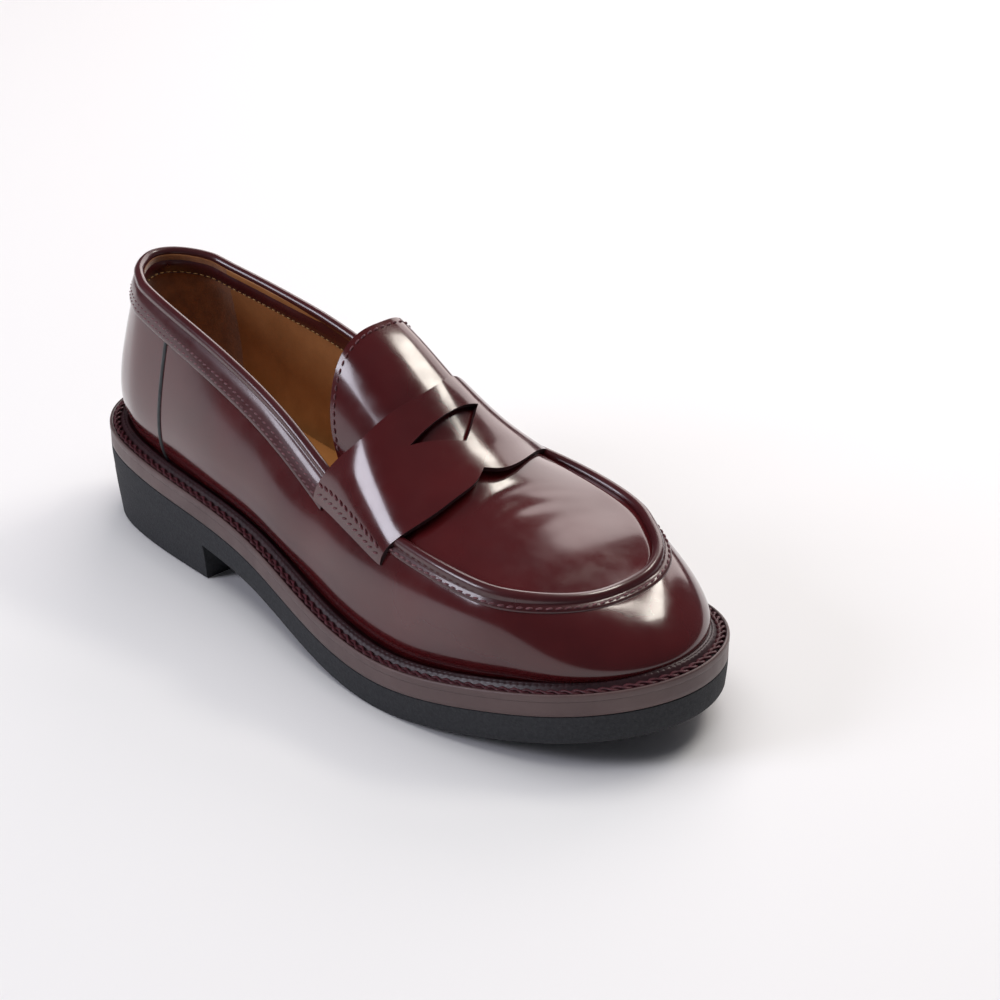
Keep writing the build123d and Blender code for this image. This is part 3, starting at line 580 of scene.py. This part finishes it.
black_piping = plain_material(
    "seam_edge", linear(40, 43, 45), linear(58, 62, 63), 500, (0.42, 0.6),
    (("noise", 1200, 0.45, 0.15),))
twill = plain_material(
    "lining_twill", linear(142, 100, 60), linear(164, 120, 76), 400, (0.8, 0.95),
    (("noise", 2200, 0.6, 0.2),))
cork = plain_material(
    "cork_compound", linear(132, 92, 56), linear(176, 130, 84), 420, (0.85, 0.95),
    (("cells", 500, 0.6, 0.4),))
board = plain_material(
    "insole_board", linear(150, 122, 88), linear(172, 144, 108), 300, (0.8, 0.95),
    (("noise", 900, 0.4, 0.2),))
foam = plain_material(
    "footbed_foam", linear(206, 200, 180), linear(222, 216, 198), 500, (0.85, 0.95),
    (("cells", 1400, 0.5, 0.2),))
stiff_board = plain_material(
    "stiffener_board", linear(196, 190, 176), linear(212, 206, 192), 300, (0.7, 0.85),
    (("noise", 1100, 0.4, 0.15),))
steel = plain_material(
    "shank_steel", linear(150, 150, 154), linear(176, 176, 180), 80, (0.25, 0.4),
    (("noise", 900, 0.2, 0.05),), Metallic=1.0)

# ---- sole -------------------------------------------------------------------------------
def ladder(piece, loop, columns=24, lift=None):
    """Fills a closed loop of points (n, 3) with rungs from one side to the other."""
    n = len(loop) // 2 * 2
    half = n // 2
    share = np.linspace(0, 1, columns)[None, :, None]
    left, right = loop[:half + 1], loop[[-i % n for i in range(half + 1)]]
    grid = left[:, None] * (1 - share) + right[:, None] * share
    if lift is not None:
        grid[:, 1:-1] = lift(grid[:, 1:-1])
    m = columns
    faces = [(i * m + j, i * m + j + 1, (i + 1) * m + j + 1, (i + 1) * m + j)
             for i in range(half) for j in range(m - 1)]
    piece.add(grid, faces)


def side_wall(piece, rows):
    """Quads between rows of points that each run once round the sole."""
    grid = np.stack(rows)
    n, m = grid.shape[:2]
    faces = [(i * m + j, i * m + (j + 1) % m, (i + 1) * m + (j + 1) % m, (i + 1) * m + j)
             for i in range(n - 1) for j in range(m)]
    piece.add(grid, faces)


# The outsole is two closed bodies in one mesh: the long layer, and the heel block under it.
even = np.linspace(0, OUTLINE_LENGTH, 721)
even_along = edge_at(even)[:, 1]
outer_breast = float(np.interp(HEEL_LENGTH, even_along[:300], even[:300]))
inner_breast = float(np.interp(-HEEL_LENGTH, -even_along[420:], even[420:]))

outsole = Piece()
around = np.linspace(0, OUTLINE_LENGTH, 720, endpoint=False)


def layer_rows(rises, insets, s=around):
    return [outline(s, inset, rise) for rise, inset in zip(rises, insets)]


bottom_rise = -WELT - MIDSOLE - OUTSOLE
rows = layer_rows(
    [-WELT - MIDSOLE, -WELT - MIDSOLE - 0.25, -12, -15, bottom_rise + 0.7, bottom_rise + 0.2,
     bottom_rise],
    [0.35, 0.0, 0.1, 0.35, 0.6, 0.85, 1.35])
for row in rows:
    row[:, 2] = np.maximum(row[:, 2], 0.02)
side_wall(outsole, rows)
ladder(outsole, rows[0])
ladder(outsole, rows[-1])


def heel_loop(inset, rise=None, up=None):
    """Closed loop round the heel block, its breast a straight line of points across."""
    back = np.linspace(inner_breast - OUTLINE_LENGTH, outer_breast, 201)
    ring = outline(back, inset)
    keep = ring[:, 1] <= HEEL_LENGTH - 0.2 - inset * 0.4
    ring = ring[keep]
    first, last = ring[0].copy(), ring[-1].copy()
    first[1] = last[1] = HEEL_LENGTH - inset * 0.4
    share = np.linspace(0, 1, 41)[:, None]
    breast = last * (1 - share) + first * share
    walked = walk(ring)
    spots = np.linspace(0, walked[-1], 180)
    ring = np.stack([np.interp(spots, walked, ring[:, c]) for c in range(3)], -1)
    loop = np.concatenate([ring, breast])
    loop[:, 2] = welt_top(loop[:, 1]) + rise if up is None else up
    return loop


heel_rows = [heel_loop(0.55, rise=-14.0), heel_loop(0.6, rise=bottom_rise - 0.5)]
for height, inset in ((12.0, 1.2), (7.0, 1.8), (2.5, 2.3), (0.7, 2.5), (0.2, 2.75), (0.02, 3.2)):
    heel_rows.append(heel_loop(inset, up=height))
side_wall(outsole, heel_rows)
half_turn = 90
ladder(outsole, np.roll(heel_rows[0], -half_turn, 0))
ladder(outsole, np.roll(heel_rows[-1], -half_turn, 0))
outsole.build("outsole_rubber", rubber, ["outsole"], sharp=50)

midsole = Piece()
rows = layer_rows([-WELT - MIDSOLE + 0.02, -WELT - MIDSOLE + 0.3, -6.0, -4.5, -WELT - 0.06],
                  [0.35, 0.02, 0.0, 0.0, 0.05])
side_wall(midsole, rows)
ladder(midsole, rows[0])
ladder(midsole, rows[-1])
midsole.build("midsole_layer", midsole_paint, ["midsole"], sharp=50)

# Storm welt: grooved top and low lip with shallow notches
NOTCH_PITCH = OUTLINE_LENGTH / round(OUTLINE_LENGTH / 2.4)
welt_s = np.arange(0, OUTLINE_LENGTH, NOTCH_PITCH / 6)
notch = np.maximum(0, np.cos(2 * math.pi * welt_s / NOTCH_PITCH)) ** 3
welt_profile = [
    (0.05, -WELT), (0.0, -1.4), (0.0, -0.5), (0.15, -0.1), (0.5, 0.12), (0.95, 0.1),
    (1.25, -0.35), (1.6, -0.85), (2.6, -1.05), (3.6, -0.85), (4.1, -0.3), (4.45, 0.1),
    (4.8, 0.45), (5.1, 0.85), (5.5, 1.0), (5.75, 0.75), (6.0, 0.95), (6.5, 1.15), (7.0, 0.9),
    (7.5, 0.3), (8.2, -0.2), (9.6, -0.3), (12.3, -0.4), (12.3, -WELT),
]
LIP_ROWS = {13: 0.15, 14: 0.25, 15: 0.2}
sections = []
for k, (inset, rise) in enumerate(welt_profile):
    cut = LIP_ROWS.get(k, 0.0) * notch
    sections.append(outline(welt_s, inset + cut * 0.8, rise - cut * 0.75))
welt = Piece()
welt.tube(np.stack(sections, 1), closed=True)
welt.build("storm_welt_strip", welt_leather, ["storm_welt"], sharp=60)

# A thin painted skin carries the midsole's colour up the welt's edge
welt_edge = Piece()
skin = [(0.02, -WELT + 0.02), (-0.12, -2.2), (-0.14, -1.4), (-0.13, -0.6), (-0.02, -0.18),
        (0.25, 0.1), (0.5, 0.18), (0.5, 0.0), (0.1, -0.6), (0.1, -2.2)]
welt_edge.tube(np.stack([outline(around, inset, rise) for inset, rise in skin], 1), closed=True)
welt_edge.build("welt_edge_paint", midsole_paint, sharp=60)

# Twisted two-strand stitching in the welt's groove
rope = Piece()
TWISTS = round(OUTLINE_LENGTH / 8.6)
rope_s = np.arange(0, OUTLINE_LENGTH, 0.45)
phase = 2 * math.pi * TWISTS * rope_s / OUTLINE_LENGTH
middle = outline(rope_s, 2.6, -0.35)
ahead = unit(np.roll(middle, -1, 0) - np.roll(middle, 1, 0))
inward = np.stack([-ahead[:, 1], ahead[:, 0], 0 * ahead[:, 0]], -1)
upward = np.cross(inward, ahead) * -1
upward *= np.sign(upward[:, 2:3])
angles = np.linspace(0, 2 * math.pi, 8, endpoint=False)
for start in (0, math.pi):
    centre = (middle + inward * (0.85 * np.cos(phase + start))[:, None]
              + upward * (0.4 * np.sin(phase + start))[:, None])
    squeeze = (1 + 0.22 * np.cos(2 * (phase + start)))[:, None, None]
    loops = centre[:, None] + 0.62 * squeeze * (
        inward[:, None] * np.cos(angles)[None, :, None]
        + 0.85 * upward[:, None] * np.sin(angles)[None, :, None])
    rope.tube(loops, closed=True)
rope.build("welt_stitches", welt_thread, ["welt_stitching"], sharp=80)

sock = Piece()
sock_rows = layer_rows([INSOLE_STACK - 0.9, INSOLE_STACK + 0.5, INSOLE_STACK + 0.7, INSOLE_STACK],
                       [13.1, 13.1, 13.6, 17.0])
side_wall(sock, sock_rows)
ladder(sock, sock_rows[0])
ladder(sock, sock_rows[-1])
sock.build("sock_liner_leather", sock_leather, ["sock_liner"], sharp=60)

# ---- upper ------------------------------------------------------------------------------
def ring_span(first, last, per_step=9):
    """Ring positions from first to last, over the closing one where last is smaller."""
    end = last + TURN if last <= first else last
    return np.linspace(first, end, int((end - first) * per_step) + 1)


def wall_top(p):
    """How far down the wall's leather stops: at the top line, or under the apron's bead."""
    q = np.mod(p, TURN)
    past_collar = np.minimum(np.minimum(q - 10, 26 - q), 1)
    return 1.5 * np.clip(past_collar, 0, 1)


SEAM_HALF = 0.035
p = ring_span(OUTER_SEAM + SEAM_HALF, INNER_SEAM - SEAM_HALF)
vamp = Piece()
vamp.tube(wall_layer(p, 0.0, wall_ratio(p, wall_top(p)), 0.0, UPPER, 48))
vamp.build("vamp_leather", leather, ["vamp_wall"])

p = ring_span(INNER_SEAM + SEAM_HALF, TURN + OUTER_SEAM - SEAM_HALF)
quarter = Piece()
quarter.tube(wall_layer(p, 0.0, 1.0, 0.0, UPPER, 48))
quarter.build("back_quarter_leather", leather, ["back_quarter"])

for name, node, first, last, top in (("heel_counter_board", "heel_counter", 30, 42, 0.72),
                                     ("toe_puff_board", "toe_puff", 13, 23, 0.85)):
    p = ring_span(first, last)
    board_piece = Piece()
    board_piece.tube(wall_layer(p, 0.05, top, UPPER + 0.15,
                                UPPER + 0.25 + 0.7 * stiffener(p), 24))
    board_piece.build(name, stiff_board, [node])


def lining(name, node, first, last, top, material):
    p = ring_span(first, last)
    depth = UPPER + 0.2 + stiffener(p)
    piece = Piece()
    piece.tube(wall_layer(p, 0.02, top(p), depth, depth + LINING, 40))
    piece.build(name, material, [node])


lining("vamp_lining_cloth", "vamp_lining", 9, 27, lambda p: wall_ratio(p, wall_top(p) + 0.8),
       twill)
lining("outer_quarter_lining", "quarter_lining_outer", 4, 9, lambda p: wall_ratio(p, 1.5),
       tan_leather)
lining("inner_quarter_lining", "quarter_lining_inner", 27, 32, lambda p: wall_ratio(p, 1.5),
       tan_leather)
lining("heel_grip_lining", "heel_lining", 32, TURN + 4, lambda p: wall_ratio(p, 1.5),
       suede)

# Collar binding: outer flap, rolled top, inner facing
BINDING_DROP, FACING_DROP = 12.0, 9.0       # outer and inner flap, down from the top line
COLLAR_THREADS = (BINDING_DROP - 4.4, BINDING_DROP - 2.0)
p = ring_span(COLLAR_START, COLLAR_END, 12)
inner_depth = UPPER + 0.2 + stiffener(p) + LINING
outer_flap = [(12.0, -0.15), (11.9, -0.7), (11.5, -0.95), (10.6, -1.0), (8.5, -1.0), (6.0, -0.95),
              (4.4, -0.75), (3.4, -0.45), (2.9, -0.22), (2.6, -0.2), (2.3, -0.32), (1.8, -0.6),
              (1.1, -0.72), (0.3, -0.5), (-0.5, 0.1), (-0.95, 0.9)]
inner_flap = [(-0.95, 1.7), (-0.5, 2.5), (0.3, 3.0), (1.2, 3.15), (1.9, 2.95), (2.3, 2.75),
              (2.8, 2.85)]
loops = [down(p, d, depth) for d, depth in outer_flap + inner_flap]
for d, extra in ((4.0, 0.6), (6.0, 0.75), (8.0, 0.75), (8.8, 0.55), (9.0, 0.1)):
    loops.append(down(p, d, np.maximum(inner_depth + extra, 2.9)))
loops.append(down(p, 2.0, 1.6))
loops.append(down(p, 1.2, 0.9))
loops.append(down(p, 2.0, 0.2))
binding = Piece()
binding.tube(np.stack(loops, 1))
binding.build("collar_binding_leather", leather_edge, ["collar_binding"],
              sharp=60)

collar_threads = Piece()
for distance in COLLAR_THREADS:
    path = down(p, distance, -0.85)
    stitches(collar_threads, path, wall_normal(p, wall_ratio(p, distance)), 2.7, 2.3, 0.62, 0.25,
             slant=0.25)
collar_threads.build("collar_stitches", upper_thread, ["collar_stitching"],
                     sharp=80)

facing_threads = Piece()
path = down(p, FACING_DROP - 0.9, inner_depth + 0.75)
stitches(facing_threads, path, -wall_normal(p, wall_ratio(p, FACING_DROP)), 2.6, 1.9, 0.45, 0.3)
facing_threads.build("facing_stitches", tan_thread, sharp=80)

# Apron seam: bead, stitched band and its edge on the wall
p = ring_span(APRON_START, APRON_END, 14)
bead_outline = [(5.6, 0.1), (5.5, -0.35), (5.2, -0.62), (4.4, -0.75), (3.6, -0.72), (3.0, -0.7),
                (2.75, -0.85), (2.5, -1.3), (2.0, -2.05), (1.2, -2.6), (0.3, -2.7), (-0.5, -2.3),
                (-1.1, -1.5), (-1.3, -0.6), (-1.15, 0.3), (-0.4, 1.0), (1.0, 1.0), (3.0, 0.5)]
apron = Piece()
apron.tube(np.stack([down(p, d, depth) for d, depth in bead_outline], 1))
apron.build("apron_bead", leather_edge, ["apron_welt"], sharp=60)

apron_threads = Piece()
stitches(apron_threads, down(p, 4.3, -0.7), wall_normal(p, wall_ratio(p, 4.3)), 3.1, 2.6, 0.7,
         0.42, slant=0.15)
apron_threads.build("apron_stitches", upper_thread, ["apron_stitching"], sharp=80)

for name, node, at in (("outer_seam_edge", "seam_piping_outer", OUTER_SEAM),
                       ("inner_seam_edge", "seam_piping_inner", INNER_SEAM)):
    top = float(wall_ratio(np.array([at]), np.array([BINDING_DROP - 0.4]))[0])
    ratio = np.linspace(0.004, top, 60)
    here = np.full(60, float(at))
    normal = wall_normal(here, ratio)
    centre = wall(here, ratio, 0.1)
    ahead = unit(np.gradient(centre, axis=0))
    side = unit(np.cross(normal, ahead))
    loops = (centre[:, None] + side[:, None] * (1.0 * np.cos(angles))[None, :, None]
             + normal[:, None] * (0.75 * np.sin(angles))[None, :, None])
    piping = Piece()
    piping.tube(loops)
    piping.build(name, black_piping, [node], sharp=80)

# ---- apron plug -------------------------------------------------------------------------
def share_of(columns, out, along):
    crown_out, _, outer, _, inner, _ = np.moveaxis(columns(along), -1, 0)
    edge = np.where(out >= crown_out, outer, inner)
    return np.where(out >= crown_out, 1, -1) * np.abs((out - crown_out) / (edge - crown_out))


plug_columns = cubic([row[0] for row in PLUG], [row[1:] for row in PLUG])
WRINKLES = [  # along, out, slope, length, width, height
    (203.0, 4, 0.10, 15, 2.2, -0.28), (207.5, 6, 0.18, 13, 2.4, 0.18),
    (212.0, 2, -0.06, 14, 2.6, -0.20), (217.5, 8, 0.15, 12, 3.0, 0.12),
    (222.0, -6, -0.1, 12, 3.0, -0.08), (209.0, -12, -0.3, 9, 2.2, -0.12),
]


def plug_height(out, along):
    share = np.clip(share_of(plug_columns, out, along), -1.04, 1.04)
    up = plug_at(along, share)[..., 2]
    for a0, o0, slope, length, width, height in WRINKLES:
        off = along - a0 - slope * (out - o0) - 0.012 * (out - o0) ** 2
        up = up + height * np.exp(-(off / width) ** 2 - ((out - o0) / length) ** 2)
    return up


q = np.linspace(APRON_START, APRON_END, 301)
seam_top = down(q, 0.0, 0.0)
flat_in = unit(np.stack([wall_normal(q, np.full_like(q, 0.97))[:, 0],
                         wall_normal(q, np.full_like(q, 0.97))[:, 1], 0 * q], -1))
seam = seam_top - flat_in * 0.3
half = len(seam) // 2
columns = 61
share = np.linspace(0, 1, columns)[None, :]
left, right = seam[:half + 1], seam[::-1][:half + 1]
out = left[:, :1] * (1 - share) + right[:, :1] * share
along = left[:, 1:2] * (1 - share) + right[:, 1:2] * share
height = plug_height(out, along)
left_gap = (left[:, 2] + 0.2 - height[:, 0])[:, None]
right_gap = (right[:, 2] + 0.2 - height[:, -1])[:, None]
reach = np.maximum(np.hypot(left[:, 0] - right[:, 0], left[:, 1] - right[:, 1])[:, None], 0.1)
from_left, from_right = share * reach, (1 - share) * reach
height = height + left_gap * np.exp(-(from_left / 7) ** 2) + right_gap * np.exp(-(from_right / 7) ** 2)
crease = 0.55 * (np.exp(-((from_left - 1.4) / 0.9) ** 2) + np.exp(-((from_right - 1.4) / 0.9) ** 2))
top = np.stack([out, along, height - np.minimum(crease, 0.55)], -1)
bottom = top - np.array([0, 0, UPPER])
plug = Piece()
plug.sheet(top[:-1], bottom[:-1])
plug.build("apron_plug_leather", leather_flex, ["apron_plug"], sharp=60)
lining_grid = top[:-14:3, 5:-5:3] - np.array([0, 0, UPPER + 0.25])
plug_lining = Piece()
plug_lining.sheet(lining_grid, lining_grid - np.array([0, 0, LINING]))
plug_lining.build("apron_lining_cloth", twill, ["apron_lining"], sharp=60)

# ---- saddle strap -----------------------------------------------------------------------
# share of the half width, along: rear edge, then the front edge on each side of its notch
STRAP_REAR = [(-1.0, 150), (-0.75, 160), (-0.3, 166), (0, 168.5), (0.3, 168.5), (0.6, 165.5),
              (0.8, 161), (0.95, 151.5), (1.0, 147.5)]
NOTCH = 0.09
FRONT_INNER = [(-1.0, 186.5), (-0.8, 190), (-0.45, 196), (-0.17, 199), (0, 198), (NOTCH, 196)]
FRONT_OUTER = [(NOTCH, 196), (0.2, 198.5), (0.4, 199.5), (0.6, 199), (0.8, 196), (0.93, 191.5),
               (1.0, 188)]
SLOT = [(-0.31, 176.5), (0.08, 186.5), (0.5, 178)]    # inner corner, tip, outer corner


def strap_front(u):
    inner, outer = cubic(*zip(*FRONT_INNER)), cubic(*zip(*FRONT_OUTER))
    return np.where(u < NOTCH, inner(np.minimum(u, NOTCH)), outer(np.maximum(u, NOTCH)))


u = np.unique(np.concatenate([
    np.sin(np.linspace(-math.pi / 2, math.pi / 2, 111)),
    np.linspace(SLOT[0][0], SLOT[2][0], 65), np.linspace(-0.05, 0.25, 31),
    [SLOT[0][0], SLOT[1][0], SLOT[2][0], NOTCH]]))
u = u[np.concatenate([[True], np.diff(u) > 1e-4])]
rear = cubic(*zip(*STRAP_REAR))(u)
front = strap_front(u)
slot_rear = np.interp(u, *zip(SLOT[0], SLOT[2]))
slot_front = np.interp(u, *zip(*SLOT))
inside = (u > SLOT[0][0] + 1e-4) & (u < SLOT[2][0] - 1e-4)
slot_front = np.where(inside, slot_front, slot_rear)
rear_rows, front_rows = 13, 15
first = rear + (slot_rear - rear) * np.linspace(0, 1, rear_rows)[:, None]
second = slot_front + (front - slot_front) * np.linspace(0, 1, front_rows)[:, None]
along = np.concatenate([first, second])
shares = np.broadcast_to(u, along.shape)
rise_front = 0.5 * ease((along - 190) / 9)
top = strap_at(along, shares, -0.15 - rise_front)
skived = STRAP - SKIVE + SKIVE * ease((along - 168) / 6)
bottom = strap_at(along, shares, skived - rise_front)
strap = Piece()
strap.sheet(top, bottom, rear_rows - 1, ~inside)
strap.build("saddle_strap_leather", leather, ["saddle_strap"], sharp=50,
            bevel=0.28, rim_material=raw_edge)


def end_threads(name, node, side):
    """Crossed double row of stitches along one sewn end of the strap."""
    piece = Piece()
    spots = np.linspace(149.5, 186.5, 60)
    for inset, slant in ((0.014, 0.45), (0.045, -0.45)):
        share = np.full_like(spots, side * (1 - inset) ** 0.5)
        path = strap_at(spots, share, -0.2)
        lifted = strap_at(spots, share, -1.2)
        stitches(piece, path, lifted - path, 3.0, 2.7, 0.72, 0.45, slant=slant)
    piece.build(name, upper_thread, [node], sharp=80)


end_threads("outer_strap_stitches", "strap_stitching_outer", 1)
end_threads("inner_strap_stitches", "strap_stitching_inner", -1)

# ---- tongue -----------------------------------------------------------------------------
TONGUE_FRONT = 168.5
tongue_rear = cubic([50, 56, 60, 66, 76, 86, 98, 108], [168, 158, 152, 146, 140.6, 138.6, 138.2, 139.6])


def tongue_grid(depth, inset, rows=36, columns=91):
    angle = np.linspace(-math.pi / 2, math.pi / 2, columns)
    power = np.where(angle >= 0, TONGUE_POWERS[0], TONGUE_POWERS[1])
    share = np.sign(angle) * np.abs(np.sin(angle)) ** (2 / power)
    share = share * (1 - inset / 60)
    level = tongue_at(np.full_like(share, 141.0), share)[:, 2]
    rear = np.minimum(tongue_rear(np.maximum(level, 50)) + inset, TONGUE_FRONT - 2)
    along = rear + (TONGUE_FRONT - rear) * np.linspace(0, 1, rows)[:, None] ** 1.15
    return tongue_at(along, np.broadcast_to(share, along.shape), depth)


tongue = Piece()
tongue.sheet(tongue_grid(0.0, 0.0), tongue_grid(TONGUE, 0.0))
tongue.build("tongue_leather", leather, ["tongue"], body="tongue",
             sharp=50, bevel=0.3)
under = Piece()
under.sheet(tongue_grid(TONGUE + 0.08, 0.5), tongue_grid(TONGUE + LINING, 0.5))
under.build("tongue_lining_leather", tan_leather, ["tongue_lining"],
            body="tongue", sharp=50, bevel=0.2)
tongue_threads = Piece()
path = tongue_grid(-0.02, 2.0)[0]
lifted = tongue_grid(-1.0, 2.0)[0]
stitches(tongue_threads, path, lifted - path, 2.9, 2.4, 0.62, 0.42, slant=0.12)
tongue_threads.build("tongue_stitches", upper_thread, ["tongue_stitching"],
                     body="tongue", sharp=80)

# ---- materials of the CAD nodes that stay -----------------------------------------------
for node, material in (("shank", steel), ("cork_filler", cork), ("insole_board", board),
                       ("footbed_foam", foam)):
    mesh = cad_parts[node]
    for entry in mesh.material_slots:
        entry.material = material

# ---- stage, light and camera ------------------------------------------------------------
def look_at(thing, target):
    direction = thing.location - target
    thing.rotation_euler = direction.to_track_quat("Z", "Y").to_euler()


def softbox(name, location, target, size, power, colour):
    data = bpy.data.lights.new(name, "AREA")
    data.shape = "RECTANGLE"
    data.size, data.size_y = size
    data.energy = power
    data.color = colour
    lamp = bpy.data.objects.new(name, data)
    lamp.location = location
    bpy.context.scene.collection.objects.link(lamp)
    look_at(lamp, type(lamp.location)(target))
    return lamp


def floor():
    mesh = bpy.data.meshes.new("studio_floor")
    half = 5.0
    mesh.from_pydata([(-half, -half, 0), (half, -half, 0), (half, half, 0), (-half, half, 0)], [],
                     [(0, 1, 2, 3)])
    m = Shader("studio_floor")
    m.set(Base_Color=(0.86, 0.86, 0.87, 1.0), Roughness=0.6, Specular_IOR_Level=0.3)
    mesh.materials.append(m.material)
    piece = bpy.data.objects.new("studio_floor", mesh)
    bpy.context.scene.collection.objects.link(piece)


floor()
world = bpy.data.worlds.new("studio")
world.use_nodes = True
world.node_tree.nodes["Background"].inputs["Color"].default_value = (0.9, 0.9, 1.0, 1.0)
world.node_tree.nodes["Background"].inputs["Strength"].default_value = 0.10
bpy.context.scene.world = world

softbox("key_box", (1.12, -0.24, 1.45), (0, -0.05, 0.07), (0.62, 0.22), 6.5, (1.0, 0.95, 0.86))
softbox("side_window", (-1.54, 0.86, 1.0), (0, 0, 0.06), (0.7, 0.7), 15, (0.88, 0.88, 1.0))
softbox("back_sweep", (1.62, 0.68, 0.95), (0, -0.05, 0.06), (1.7, 1.2), 17, (1.0, 0.9, 0.88))
overhead = softbox("overhead_fill", (0.2, 0.2, 2.0), (0.2, 0.2, 0), (2.4, 2.4), 34, (1.0, 0.99, 0.98))
overhead.visible_glossy = False


CAMERA_AT, CAMERA_AIM = (-0.5061, -0.5578, 0.4179), (0.0904, 0.0293, 0.0)    # metres
camera_data = bpy.data.cameras.new("camera")
camera_data.lens = 85.8
camera_data.sensor_width = 36
camera = bpy.data.objects.new("camera", camera_data)
camera.location = CAMERA_AT
bpy.context.scene.collection.objects.link(camera)
look_at(camera, type(camera.location)(CAMERA_AIM))
bpy.context.scene.camera = camera
bpy.context.scene.view_settings.view_transform = "Standard"

bpy.context.view_layer.update()
